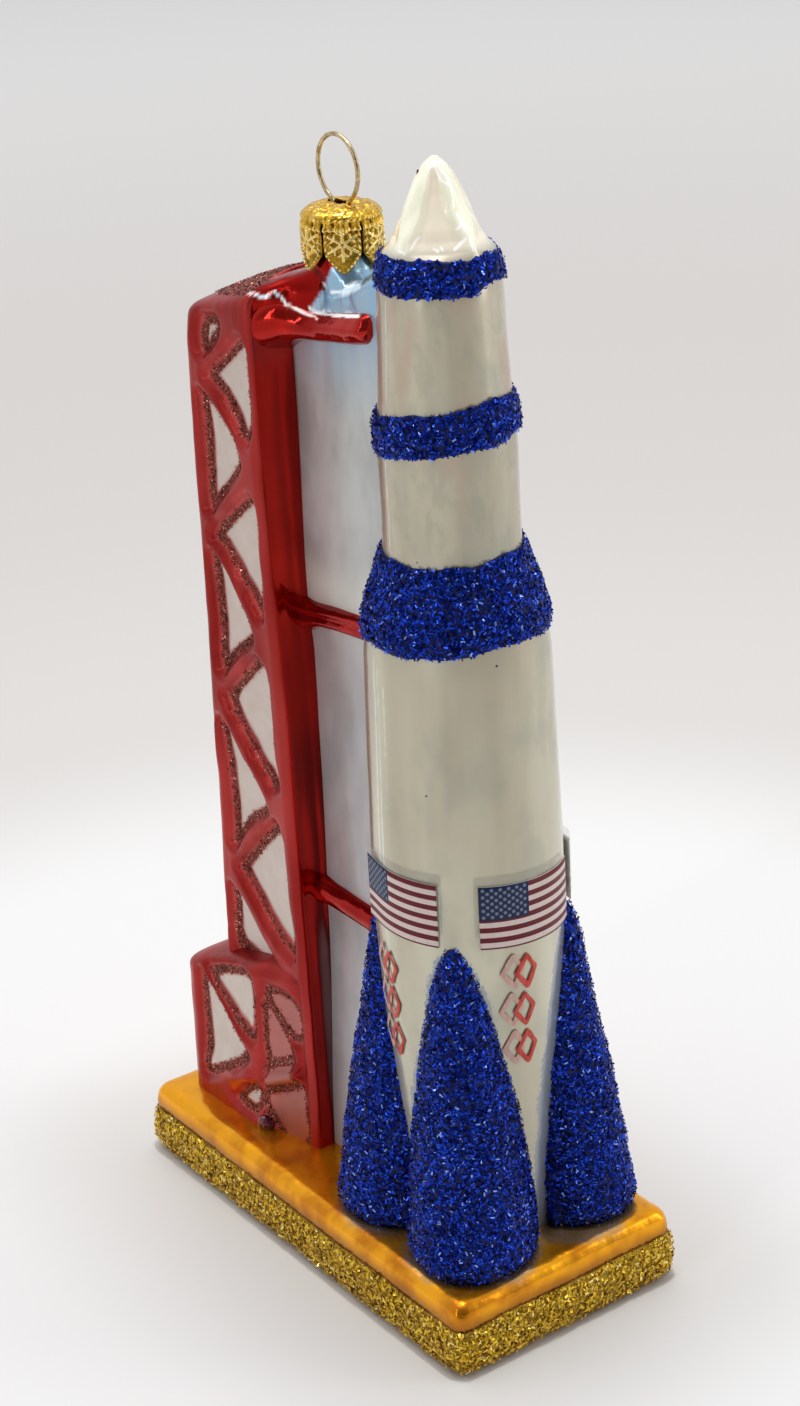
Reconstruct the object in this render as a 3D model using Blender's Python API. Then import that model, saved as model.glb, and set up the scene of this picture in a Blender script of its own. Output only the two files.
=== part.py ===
# Glass rocket ornament: a blown-glass rocket joined to its launch tower by a thin glass wall, both on one
# long base, with bands and fins of glitter, three stickers, a metal cap and a wire ring to hang it from.
# Sizes are in millimetres and make_object turns them into metres. +Z is up, the rocket end is at -Y, the
# tower end at +Y, and the mould's parting plane is X = 0.
import math

import bmesh
import bpy
import numpy as np
from mathutils import Matrix, Vector

mm = 0.001
gap = 0.3

# base
base_half_x = 22.0
base_half_y = 45.2
base_top_z = 13.0
base_corner = 2.4
band_inset = 0.7
band_top_z = 8.4
band_bulge = 0.85

# rocket
rocket_y = -23.5
round_steps = 40
nose_steps = 32
tip_steps = 16
facet_sag = 0.12
low_profile = [(13.3, 12.65), (20.0, 12.9), (40.0, 13.7), (66.0, 14.9), (80.0, 14.9), (95.0, 14.5),
               (114.5, 14.05), (119.0, 13.0), (124.0, 11.0), (126.0, 10.6)]
mid_profile = [(126.5, 10.2), (130.0, 10.2), (143.5, 10.3), (147.7, 10.1)]
high_profile = [(148.3, 9.8), (151.0, 9.7), (159.0, 9.3), (166.5, 9.05), (169.7, 8.75)]
nose_profile = [(170.3, 8.7), (172.0, 8.1), (173.5, 7.1), (175.5, 6.0), (178.0, 4.6), (180.0, 3.5),
                (182.2, 2.2), (184.0, 1.4)]
tip_profile = [(184.3, 1.3), (185.2, 1.0), (185.9, 0.55), (186.1, 0.25)]

# glitter bands of the rocket: the body they lie on shows between them
band_steps = 36
band_rows = [
    # name, half opening at the wall in degrees, (z, inner radius, outer radius) from the bottom up
    ("band_top", 36.0, [(167.2, 9.25, 9.5), (168.0, 9.25, 9.85), (171.4, 8.75, 9.5), (172.6, 8.25, 8.75)]),
    ("band_mid", 32.0, [(144.6, 10.6, 10.85), (145.6, 10.6, 11.2), (149.6, 10.45, 11.1),
                        (150.8, 10.1, 10.5)]),
    ("band_low", 28.0, [(115.0, 14.35, 14.5), (116.2, 14.1, 15.0), (119.0, 13.4, 14.3), (124.0, 11.4, 12.2),
                        (126.0, 11.0, 11.9), (127.0, 10.6, 11.1)]),
]

# fins: half cones of glitter at 45 degrees to the parting plane
fin_angles = {
    "fin_front_left": -45.0, "fin_front_right": 45.0, "fin_back_left": -135.0, "fin_back_right": 135.0,
}
fin_rows = [
    # z, outer radius from the rocket's axis, half width
    (13.3, 23.6, 8.8), (14.4, 24.6, 9.6), (20.0, 23.9, 9.3), (28.0, 22.8, 8.8), (39.0, 21.0, 7.6),
    (50.0, 19.0, 5.8), (60.0, 17.3, 3.9), (65.0, 16.2, 2.3), (67.2, 15.5, 1.0),
]

# stickers: a curved film on the rocket's lower stage
sticker_rows = {"sticker_front": 6.0, "sticker_left": -94.0, "sticker_right": 96.0}
sticker_half_angle = 37.5
sticker_low_z = 67.6
sticker_high_z = 80.0
sticker_radius = 15.2
sticker_thick = 0.2

# tower column: z, front y, back y
tower_rows = [
    (13.3, 6.4, 31.4), (60.0, 7.0, 30.6), (95.0, 7.4, 29.4), (117.0, 8.6, 28.8), (140.0, 9.2, 28.2),
    (151.0, 9.3, 27.6),
]
tower_top_z = 151.0
tower_half_x = 10.3
tower_corner = 2.2
panel_thick = 0.4
truss_thick = 1.3
side_low_z = 46.6

# foot round the tower's bottom: outer plan points on the left, (x, y, top z)
foot_rows = [(11.6, 6.3, 46.0), (13.9, 18.6, 43.0), (13.9, 39.4, 36.6)]

# wall between rocket and tower: half thickness by height, and the pieces the arms part it into
wall_thickness = [(13.3, 7.6), (22.0, 6.4), (56.6, 5.7), (107.3, 5.0), (113.4, 4.6), (157.2, 3.9),
                  (165.6, 3.9)]
wall_top_z = 165.6
wall_pieces = [
    # name, arm below it, arm above it, y at the tower end less than the tower's front, rings
    ("wall_low", None, "arm_low", 0.0, 5),
    ("wall_mid", "arm_low", "arm_mid", 0.0, 5),
    ("wall_high", "arm_mid", "arm_high", 0.0, 12),
    ("wall_top", "arm_high", None, 4.4, 3),
]

# arms: red bars across the wall's full width
arm_rows = {
    # y and z at the tower, y and z at the rocket end, height, how far it stands out of the wall
    "arm_low": (6.0, 60.9, -5.6, 59.9, 5.4, 2.3),
    "arm_mid": (7.6, 109.0, -7.0, 110.7, 5.0, 2.3),
    "arm_high": (8.8, 155.8, -12.9, 160.2, 4.8, 2.3),
}

# neck, cap and wire ring
neck_y = 0.35
neck_outer = 4.6
neck_inner = 3.8
neck_low_z = 166.0
neck_high_z = 174.0
cap_outer = 6.0
cap_wall = 0.35
cap_rim_z = 174.0
cap_top_z = 175.6
cap_tab_z = 166.6
cap_tabs = 6
slit_half_width = 0.26
slit_top_z = 172.6
tab_round = 2.6
slot_half_y = 3.0
slot_half_x = 0.8
wire_radius = 0.36
ring_radius = 5.1
ring_centre_z = 180.3


def finish(thing, colour, roughness, metallic=0.0, origin=(0.0, 0.0, 0.0)):
    # places an object in the scene by its origin and gives it a material of its own
    thing.location = Vector(origin) * mm
    bpy.context.scene.collection.objects.link(thing)
    material = bpy.data.materials.new(thing.name)
    material.use_nodes = True
    shader = material.node_tree.nodes["Principled BSDF"]
    shader.inputs["Base Color"].default_value = (*colour, 1.0)
    shader.inputs["Roughness"].default_value = roughness
    shader.inputs["Metallic"].default_value = metallic
    thing.data.materials.append(material)
    return thing


def make_object(name, work, colour, roughness, metallic=0.0, origin=(0.0, 0.0, 0.0), flat=False):
    # turns a bmesh in millimetres into an object in metres
    bmesh.ops.translate(work, verts=work.verts, vec=-Vector(origin))
    bmesh.ops.scale(work, verts=work.verts, vec=(mm, mm, mm))
    bmesh.ops.recalc_face_normals(work, faces=work.faces)
    mesh = bpy.data.meshes.new(name)
    work.to_mesh(mesh)
    work.free()
    if not flat:
        mesh.shade_smooth()
        mesh.set_sharp_from_angle(angle=math.radians(38.0))
    return finish(bpy.data.objects.new(name, mesh), colour, roughness, metallic, origin)


def add_loop(work, points):
    # closed loop of edges through the points
    verts = [work.verts.new(Vector(point)) for point in points]
    return [work.edges.new((verts[k - 1], verts[k])) for k in range(len(verts))]


def loft(rings, closed=False):
    # bridges each ring of points to the next, the last one to the first or else a flat face on each end
    work = bmesh.new()
    loops = [add_loop(work, ring) for ring in rings]
    for low, high in zip(loops, loops[1:]):
        bmesh.ops.bridge_loops(work, edges=low + high)
    if closed:
        bmesh.ops.bridge_loops(work, edges=loops[-1] + loops[0])
    else:
        bmesh.ops.contextual_create(work, geom=loops[0])
        bmesh.ops.contextual_create(work, geom=loops[-1])
    return work


def turn_profile(profile, centre_y, steps=round_steps):
    # solid of revolution from (z, radius) rows, with a flat face on each end
    work = bmesh.new()
    verts = [work.verts.new((0.0, centre_y - r, z)) for z, r in profile]
    edges = [work.edges.new(pair) for pair in zip(verts, verts[1:])]
    bmesh.ops.spin(work, geom=verts + edges, cent=(0.0, centre_y, 0.0), axis=(0.0, 0.0, 1.0),
                   angle=2.0 * math.pi, steps=steps, use_merge=True)
    bmesh.ops.holes_fill(work, edges=[edge for edge in work.edges if edge.is_boundary])
    return work


def turn_section(section, centre_y, start, sweep, steps):
    # closed section of (z, radius) points turned about the upright line at centre_y, through sweep degrees
    work = bmesh.new()
    angle = math.radians(start)
    points = [(r * math.sin(angle), centre_y - r * math.cos(angle), z) for z, r in section]
    edges = add_loop(work, points)
    whole = sweep >= 360.0
    bmesh.ops.spin(work, geom=work.verts[:] + edges, cent=(0.0, centre_y, 0.0), axis=(0.0, 0.0, 1.0),
                   angle=math.radians(sweep), steps=steps, use_merge=whole)
    if not whole:
        bmesh.ops.holes_fill(work, edges=[edge for edge in work.edges if edge.is_boundary])
    return work


def rounded_plan(half_x, y0, y1, corner, steps=5):
    # plan outline with round corners, anticlockwise from the corner at +X, -Y
    t = np.linspace(0.0, math.pi / 2.0, steps + 1)
    parts = []
    for sx, yc, start in ((1, y0, -90.0), (1, y1, 0.0), (-1, y1, 90.0), (-1, y0, 180.0)):
        angle = t + math.radians(start)
        yc += corner if yc == y0 else -corner
        x = sx * (half_x - corner) + corner * np.cos(angle)
        parts.append(np.stack([x, yc + corner * np.sin(angle)], 1))
    return np.concatenate(parts)


def at_height(plan, z):
    plan = np.asarray(plan, float)
    return np.column_stack([plan, np.full(len(plan), z)])


def upright(outline, y):
    # an outline of (x, z) points set upright at y
    return [(x, y, z) for x, z in outline]


def push_out(work, step):
    # extrudes the flat faces of a bmesh by a step
    new = bmesh.ops.extrude_face_region(work, geom=work.faces[:])["geom"]
    bmesh.ops.translate(work, verts=[item for item in new if isinstance(item, bmesh.types.BMVert)], vec=step)
    return work


def plate(name, outline, holes, x_inner, x_outer, side, colour, roughness):
    # a flat plate in the YZ plane with holes, from x_inner to x_outer on the side given by its sign
    work = bmesh.new()
    edges = []
    for loop in [outline] + holes:
        edges += add_loop(work, [(side * x_inner, y, z) for y, z in loop])
    bmesh.ops.triangle_fill(work, edges=edges, use_beauty=True)
    push_out(work, (side * (x_outer - x_inner), 0.0, 0.0))
    return make_object(name, work, colour, roughness, flat=True)


for old in list(bpy.data.objects):
    bpy.data.objects.remove(old, do_unlink=True)

gold = (0.55, 0.24, 0.02)
gold_glitter = (0.48, 0.34, 0.11)
red = (0.42, 0.012, 0.008)
red_glitter = (0.22, 0.03, 0.02)
white = (0.62, 0.57, 0.52)
pearl = (0.62, 0.60, 0.54)
clear = (0.75, 0.72, 0.66)
blue_glitter = (0.01, 0.015, 0.22)
wall_grey = (0.42, 0.43, 0.45)
neck_grey = (0.60, 0.62, 0.62)
sticker_pink = (0.60, 0.45, 0.45)
wire_gold = (0.45, 0.36, 0.20)
brass = (0.72, 0.45, 0.08)

# base block with its lacquered upper half, and the glitter band round its lower half
base_sections = [
    # z, how far the section is inside the block's full size
    (0.0, 1.9), (0.5, band_inset + 0.3), (1.4, band_inset), (band_top_z, band_inset), (band_top_z + 0.4, 0.1),
    (10.4, 0.0), (11.8, 0.5), (12.6, 1.2), (base_top_z, 2.2),
]
base_rings = []
for z, inset in base_sections:
    corner = max(base_corner - inset, 0.4)
    plan = rounded_plan(base_half_x - inset, inset - base_half_y, base_half_y - inset, corner)
    base_rings.append(at_height(plan, z))
make_object("base_block", loft(base_rings), gold, 0.2, 0.6)

band_profile = [
    # z, how far outside the block's full size
    (0.9, gap - band_inset), (0.9, 0.1), (2.2, 0.65), (4.6, band_bulge), (7.2, 0.75), (8.2, 0.25),
    (8.2, gap - band_inset),
]
band_rings = []
for z, out in band_profile:
    plan = rounded_plan(base_half_x + out, -base_half_y - out, base_half_y + out, base_corner + out)
    band_rings.append(at_height(plan, z))
band_sections = [[ring[k] for ring in band_rings] for k in range(len(band_rings[0]))]
make_object("base_glitter", loft(band_sections, closed=True), gold_glitter, 0.6, 0.7)

# rocket
rocket_parts = [
    # name, rows, steps, colour, roughness
    ("rocket_low", low_profile, round_steps, pearl, 0.18),
    ("rocket_mid", mid_profile, round_steps, pearl, 0.18),
    ("rocket_high", high_profile, round_steps, pearl, 0.18),
    ("nose_cone", nose_profile, nose_steps, pearl, 0.15),
    ("nose_tip", tip_profile, tip_steps, clear, 0.05),
]
for name, profile, steps, colour, roughness in rocket_parts:
    make_object(name, turn_profile(profile, rocket_y, steps), colour, roughness)

for name, opening, rows in band_rows:
    section = [(z, inner) for z, inner, _ in rows] + [(z, outer) for z, _, outer in reversed(rows)]
    work = turn_section(section, rocket_y, 180.0 + opening, 360.0 - 2.0 * opening, band_steps)
    make_object(name, work, blue_glitter, 0.6, 0.3)

low_z = [z for z, _ in low_profile]
low_r = [r for _, r in low_profile]


def wall_half(z):
    return float(np.interp(z, [row[0] for row in wall_thickness], [row[1] for row in wall_thickness]))


def fin_section(z, outer, half_width):
    # part of an ellipse standing out of the rocket's round body, closed by an arc one gap outside that body
    body = float(np.interp(z, low_z, low_r)) + gap
    centre = outer - half_width * 1.15
    reach = 0.0
    for t in np.linspace(0.0, math.pi, 721):
        along = centre + (outer - centre) * math.cos(t)
        across = half_width * math.sin(t)
        if math.hypot(along, across) < body:
            break
        reach = t
    t = np.linspace(-reach, reach, 19)
    front = np.stack([centre + (outer - centre) * np.cos(t), half_width * np.sin(t)], 1)
    end = math.atan2(front[-1][1], front[-1][0])
    back_angle = np.linspace(end, -end, 9)[1:-1]
    back = np.stack([body * np.cos(back_angle), body * np.sin(back_angle)], 1)
    return np.concatenate([front, back])


for name, degrees in fin_angles.items():
    angle = math.radians(degrees)
    rings = []
    for z, outer, half_width in fin_rows:
        plan = fin_section(z, outer, half_width)
        x = plan[:, 0] * math.sin(angle) + plan[:, 1] * math.cos(angle)
        y = rocket_y - plan[:, 0] * math.cos(angle) + plan[:, 1] * math.sin(angle)
        if "back" in name:
            x = math.copysign(1.0, angle) * np.maximum(np.abs(x), wall_half(z) + gap)
        rings.append(np.column_stack([x, y, np.full(len(x), z)]))
    make_object(name, loft(rings), blue_glitter, 0.6, 0.3)

for name, degrees in sticker_rows.items():
    outer = sticker_radius + sticker_thick
    section = [(sticker_low_z, sticker_radius), (sticker_high_z, sticker_radius), (sticker_high_z, outer),
               (sticker_low_z, outer)]
    work = turn_section(section, rocket_y, degrees - sticker_half_angle, 2.0 * sticker_half_angle, 12)
    make_object(name, work, sticker_pink, 0.3)

# tower column and its head, which runs forward over the wall to the neck
column_rings = [at_height(rounded_plan(tower_half_x, y0, y1, tower_corner, 3), z) for z, y0, y1 in tower_rows]
make_object("tower_column", loft(column_rings), red, 0.12)

tower_z = [z for z, _, _ in tower_rows]


def tower_y(z, column):
    return float(np.interp(z, tower_z, [row[column] for row in tower_rows]))


head_rows = [
    # y, half width, bottom z, top z, corner
    (27.8, 10.6, 151.3, 154.8, 1.6), (27.0, 11.8, 151.3, 155.8, 1.8), (16.0, 12.1, 151.3, 158.4, 1.8),
    (9.3, 12.1, 151.3, 160.2, 1.8), (9.1, 9.6, 158.8, 163.2, 0.5), (6.2, 6.8, 159.4, 164.6, 0.6),
    (5.3, 5.0, 159.6, 165.4, 0.7),
]
head_rings = []
for y, half_x, z0, z1, corner in head_rows:
    head_rings.append(upright(rounded_plan(half_x, z0, z1, corner, 3), y))
make_object("tower_head", loft(head_rings), red, 0.12)

# raised lattice on each side of the tower, over a white painted ground
side_z = [side_low_z, 60.0, 95.0, 117.0, 140.0, tower_top_z]
front_edge = [(tower_y(z, 1) + 0.2, z) for z in side_z]
back_edge = [(tower_y(z, 2) - 0.4, z) for z in side_z]
openings = [
    # triangles between the chords and the zigzag, (y, z)
    [(12.4, 149.6), (12.6, 139.0), (21.6, 146.2)],
    [(25.0, 142.2), (16.6, 134.0), (24.8, 125.4)],
    [(12.8, 127.0), (13.1, 110.6), (23.6, 119.2)],
    [(25.6, 114.8), (16.6, 104.6), (25.6, 97.2)],
    [(13.0, 99.2), (12.6, 81.0), (24.6, 91.2)],
    [(26.4, 86.2), (16.0, 75.4), (26.2, 65.2)],
    [(12.2, 71.4), (12.0, 50.6), (25.0, 60.0)],
    [(26.6, 56.2), (16.4, 49.0), (26.6, 48.8)],
]
foot_outline = [(19.4, 15.0), (38.6, 15.0), (38.6, 34.8), (19.4, 40.6)]
foot_openings = [
    [(26.8, 36.2), (21.2, 37.0), (22.0, 27.4)],
    [(34.6, 32.4), (25.0, 25.6), (35.2, 20.4)],
    [(20.8, 20.0), (20.8, 17.0), (26.0, 17.0)],
]
for side, label in ((-1.0, "left"), (1.0, "right")):
    ground = [(y + 0.4, z) for y, z in front_edge] + [(y - 0.4, z) for y, z in reversed(back_edge)]
    x0 = tower_half_x + gap
    plate("tower_ground_" + label, ground, [], x0, x0 + panel_thick, side, white, 0.6)
    x1 = x0 + panel_thick + gap
    lattice = front_edge + back_edge[::-1]
    plate("tower_lattice_" + label, lattice, openings, x1, x1 + truss_thick, side, red, 0.15)
    x2 = foot_rows[1][0] + gap
    plate("foot_ground_" + label, foot_outline, [], x2, x2 + panel_thick, side, white, 0.6)
    x3 = x2 + panel_thick + gap
    plate("foot_lattice_" + label, foot_outline, foot_openings, x3, x3 + truss_thick, side, red, 0.15)

# foot: a low box standing round the tower's back and sides
inner_x = tower_half_x + gap
outer = [(-x, y, z) for x, y, z in foot_rows] + [(x, y, z) for x, y, z in reversed(foot_rows)]
front_y = foot_rows[0][1] + 0.6
back_y = tower_rows[0][2] + gap
front_z = foot_rows[0][2]
back_z = float(np.interp(back_y, [row[1] for row in foot_rows], [row[2] for row in foot_rows]))
inner = [(inner_x, front_y, front_z), (inner_x, back_y, back_z), (-inner_x, back_y, back_z),
         (-inner_x, front_y, front_z)]
foot_loop = outer + inner
bottom_loop = [(x, y, base_top_z + gap) for x, y, _ in foot_loop]
make_object("tower_foot", loft([bottom_loop, foot_loop]), red, 0.15, flat=True)

# glitter laid on the tower's sloping top
roof_rows = [
    # y, half width, bottom z, top z
    (26.6, 10.4, 156.2, 156.65), (16.0, 11.0, 158.75, 159.3), (10.4, 11.0, 160.25, 160.8),
]
roof_rings = []
for y, half_x, z0, z1 in roof_rows:
    roof_rings.append(upright([(-half_x, z0), (half_x, z0), (half_x, z1), (-half_x, z1)], y))
make_object("tower_roof", loft(roof_rings), red_glitter, 0.7, flat=True)


def rocket_radius(z):
    rows = low_profile + mid_profile + high_profile + nose_profile
    return float(np.interp(z, [row[0] for row in rows], [row[1] for row in rows]))


def arm_z(name, y):
    # height of an arm's middle line at y
    y_far, z_far, y_near, z_near, _, _ = arm_rows[name]
    return z_far + (z_near - z_far) * (y - y_far) / (y_near - y_far)


def wall_ring(low_arm, high_arm, set_back, share):
    # outline of the wall at a share of its height: flat at the tower, hollowed one gap outside the rocket
    def height(y):
        low = base_top_z + gap
        high = wall_top_z
        if low_arm is not None:
            low = arm_z(low_arm, y) + arm_rows[low_arm][4] / 2.0 + gap
        if high_arm is not None:
            high = arm_z(high_arm, y) - arm_rows[high_arm][4] / 2.0 - gap
        return low + (high - low) * share

    y_tower = tower_y(min(height(6.0), tower_top_z), 1) - gap - set_back
    half_x = wall_half(height(0.0))
    points = [(half_x, y_tower, height(y_tower)), (-half_x, y_tower, height(y_tower))]
    hollow = []
    for x in np.linspace(-half_x, half_x, 7):
        y = -10.0
        for _ in range(6):
            radius = rocket_radius(height(y)) + gap + facet_sag
            y = rocket_y + math.sqrt(radius * radius - x * x)
        hollow.append((x, y, height(y)))
    return hollow + points


for name, low_arm, high_arm, set_back, count in wall_pieces:
    rings = [wall_ring(low_arm, high_arm, set_back, share) for share in np.linspace(0.0, 1.0, count)]
    make_object(name, loft(rings), wall_grey, 0.2)

for name, (y_far, z_far, y_near, z_near, height, stand_out) in arm_rows.items():
    rings = []
    for step, size in ((0.0, 1.0), (0.96, 1.0), (1.0, 0.8)):
        y = y_far + (y_near - y_far) * step
        z = z_far + (z_near - z_far) * step
        half_z = height / 2.0 * size
        half_x = (wall_half(z_far) + stand_out) * size
        rings.append(upright(rounded_plan(half_x, z - half_z, z + half_z, half_z * 0.75, 3), y))
    make_object(name, loft(rings), red, 0.12)

# neck: a short glass tube open at the top
neck_section = [(neck_low_z, neck_inner), (neck_low_z, neck_outer), (neck_high_z, neck_outer),
                (neck_high_z, neck_inner)]
make_object("neck", turn_section(neck_section, neck_y, 0.0, 360.0, 32), neck_grey, 0.1)

# cap: a domed shell, its wall parted by six slits into tabs with round lower ends
cap_eye = 0.5
cap_crown_z = cap_top_z - 0.25
cap_skirt = cap_outer - 0.05
cap_outside = [(cap_top_z, cap_eye), (cap_crown_z, 3.4), (cap_rim_z + 0.35, 5.3),
               (cap_rim_z - 0.3, cap_outer), (cap_tab_z, cap_skirt)]
cap_inside = [(cap_top_z - cap_wall, cap_eye), (cap_crown_z - cap_wall, 3.4), (cap_rim_z, 5.3 - cap_wall),
              (cap_rim_z - 0.5, cap_outer - cap_wall), (cap_tab_z, cap_skirt - cap_wall)]
cap_section = cap_outside + cap_inside[::-1]
cap = make_object("cap", turn_section(cap_section, neck_y, 2.5, 360.0, 72), brass, 0.3, 1.0,
                  origin=(0.0, neck_y, cap_rim_z))


def box(work, low, high):
    # adds a box between two corners
    size = Vector(high) - Vector(low)
    made = bmesh.ops.create_cube(work, size=1.0)["verts"]
    bmesh.ops.scale(work, verts=made, vec=size)
    bmesh.ops.translate(work, verts=made, vec=Vector(low) + size / 2.0)


def tab_gap(work, turn):
    # adds the space between two tabs: a slit that widens below into the round ends of its neighbours
    widest = cap_outer * math.tan(math.pi / cap_tabs) - 0.2
    right = [(slit_half_width, slit_top_z)]
    for angle in np.linspace(0.0, math.pi / 2.0, 7):
        x = slit_half_width + (widest - slit_half_width) * (1.0 - math.cos(angle))
        right.append((x, cap_tab_z + tab_round * (1.0 - math.sin(angle))))
    right.append((widest, cap_tab_z - 0.5))
    outline = right + [(-x, z) for x, z in reversed(right)]
    inner_share = 0.75
    front = [(x, neck_y - cap_outer - 0.6, z) for x, z in outline]
    back = [(x * inner_share, neck_y - cap_outer + 1.0, z) for x, z in outline]
    piece = loft([front, back])
    bmesh.ops.recalc_face_normals(piece, faces=piece.faces)
    bmesh.ops.rotate(piece, verts=piece.verts, cent=(0.0, neck_y, 0.0), matrix=Matrix.Rotation(turn, 3, "Z"))
    mesh = bpy.data.meshes.new("tab_gap")
    piece.to_mesh(mesh)
    piece.free()
    work.from_mesh(mesh)


cutter_work = bmesh.new()
box(cutter_work, (-slot_half_x, neck_y - slot_half_y, cap_rim_z - 1.0),
    (slot_half_x, neck_y + slot_half_y, cap_top_z + 1.0))
for tab in range(cap_tabs):
    tab_gap(cutter_work, math.radians(tab * 360.0 / cap_tabs))
cutter = make_object("cutter_cap", cutter_work, brass, 0.3, flat=True)
cutter.hide_render = True
cutter.display_type = "WIRE"
cuts = cap.modifiers.new("slot_and_slits", "BOOLEAN")
cuts.operation = "DIFFERENCE"
cuts.solver = "EXACT"
cuts.object = cutter

# wire ring: one length of wire bent to a ring, its two legs going down through the slot into the neck
leg_path = [(3.1, 167.4), (2.9, 168.4), (2.2, 173.0), (1.7, 174.6)]
turn = np.radians(np.linspace(-72.0, 252.0, 29))
ring_path = [(ring_radius * math.cos(t), ring_centre_z + ring_radius * math.sin(t)) for t in turn]
path = leg_path + ring_path + [(-y, z) for y, z in reversed(leg_path)]
wire = bpy.data.curves.new("wire_ring", "CURVE")
wire.dimensions = "3D"
wire.bevel_depth = wire_radius * mm
wire.bevel_resolution = 1
wire.use_fill_caps = True
spline = wire.splines.new("POLY")
spline.points.add(len(path) - 1)
for point, (y, z) in zip(spline.points, path):
    point.co = (0.0, y * mm, (z - cap_rim_z) * mm, 1.0)
finish(bpy.data.objects.new("wire_ring", wire), wire_gold, 0.3, 1.0, origin=(0.0, neck_y, cap_rim_z))
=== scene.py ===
# Glass rocket ornament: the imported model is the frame, and everything that shows is dressed here
import math

import bmesh
import bpy
import numpy as np
from mathutils import Matrix


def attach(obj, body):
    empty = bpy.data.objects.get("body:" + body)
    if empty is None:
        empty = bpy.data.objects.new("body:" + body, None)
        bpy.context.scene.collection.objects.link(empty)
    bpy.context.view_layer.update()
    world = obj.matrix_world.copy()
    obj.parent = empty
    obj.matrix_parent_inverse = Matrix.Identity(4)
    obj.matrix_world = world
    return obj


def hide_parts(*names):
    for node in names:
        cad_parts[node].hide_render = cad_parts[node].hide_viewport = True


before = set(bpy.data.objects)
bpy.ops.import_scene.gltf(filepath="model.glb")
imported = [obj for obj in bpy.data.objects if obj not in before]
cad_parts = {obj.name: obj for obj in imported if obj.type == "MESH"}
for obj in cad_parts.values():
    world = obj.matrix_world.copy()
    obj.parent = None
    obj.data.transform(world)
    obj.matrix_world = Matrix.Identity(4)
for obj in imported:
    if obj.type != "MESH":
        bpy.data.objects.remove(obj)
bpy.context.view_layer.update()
scene = bpy.context.scene
mm = 0.001
rocketY = -23.5  # the rocket's upright axis


# numbers and noise
def ease(low, high, value):
    # eased share of the way from low to high
    share = np.clip((value - low) / (high - low), 0, 1)
    return share * share * (3 - 2 * share)


def bell(value, middle, width):
    # one at the middle, falling off as the square of the distance in an exponential
    return np.exp(-((value - middle) / width) ** 2)


def softNoise(points, size, seed):
    # random values on a lattice with cells of the given size in mm, eased between the corners, -1 to 1
    cell = np.asarray(points, float) / np.asarray(size, float) + 11.7 * seed
    base = np.floor(cell)
    part = ease(0, 1, cell - base)
    total = np.zeros(cell.shape[:-1])
    for corner in np.ndindex(2, 2, 2):
        value = np.sin((base + corner) @ np.array([12.9898, 78.233, 37.719]) + seed) * 43758.5453
        share = np.prod(np.where(np.array(corner) == 1, part, 1 - part), axis=-1)
        total += share * (value - np.floor(value))
    return total * 2 - 1


def along(table, value, column=1):
    # value read off a table of rows, straight between them
    rows = np.array(table, float)
    return np.interp(value, rows[:, 0], rows[:, column])


def unit(ways):
    # directions of length one
    return ways / np.linalg.norm(ways, axis=-1, keepdims=True)


def spots(*parts):
    # one grid of points from a grid or number for each coordinate
    return np.stack(np.broadcast_arrays(*parts), -1).astype(float)


def axes(grid):
    # the coordinates of a grid of points, one by one
    return np.moveaxis(grid, -1, 0)


def around(angle, r, z, middle=rocketY):
    # points at an angle in degrees from -Y towards +X, a distance from an upright axis and a height
    a = np.radians(angle)
    return spots(r * np.sin(a), middle - r * np.cos(a), z)


def circle(count):
    # angles of evenly spread points on a whole turn
    return np.linspace(0, 2 * np.pi, count, endpoint=False)


def evened(rows, times):
    # rows averaged with their neighbours again and again, the first and the last kept
    rows = rows.copy()
    for _ in range(times):
        rows[1:-1] = 0.25 * rows[:-2] + 0.5 * rows[1:-1] + 0.25 * rows[2:]
    return rows


def lengthTo(line):
    # how far along a flat line each of its points lies
    return np.concatenate([[0], np.cumsum(np.hypot(*np.diff(line, axis=0).T))])


def readLine(line, places):
    # points of a flat line at the given lengths along it
    return np.stack([np.interp(places, lengthTo(line), part) for part in line.T], 1)


def stretchGap(u, v, du, dv):
    # a point given from a stretch's first end: its distance to the stretch, and how far along its nearest spot is
    share = np.clip((u * du + v * dv) / (du * du + dv * dv), 0, 1)
    return np.hypot(u - share * du, v - share * dv), share


def alongSight(grid, plane):
    # y and z where the measuring line through a point meets an upright plane that far from the middle
    off = np.abs(grid[..., 0]) - plane
    return grid[..., 1] + 1.436 * off, grid[..., 2] - 0.769 * off


# meshes from whole arrays
def gridFaces(rows, cols, closed):
    # quads between following rows, the last column joined to the first where the surface goes all the way round
    r, c = np.meshgrid(np.arange(rows - 1), np.arange(cols if closed else cols - 1), indexing="ij")
    n = (c + 1) % cols
    return spots(r * cols + c, r * cols + n, (r + 1) * cols + n, (r + 1) * cols + c).astype(int).reshape(-1, 4)


def manyFaces(grids):
    # quads of several open grids of one size, one grid after another, turned over
    count, rows, cols = grids.shape[:3]
    return np.concatenate([gridFaces(rows, cols, False)[:, ::-1] + k * rows * cols for k in range(count)])


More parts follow.
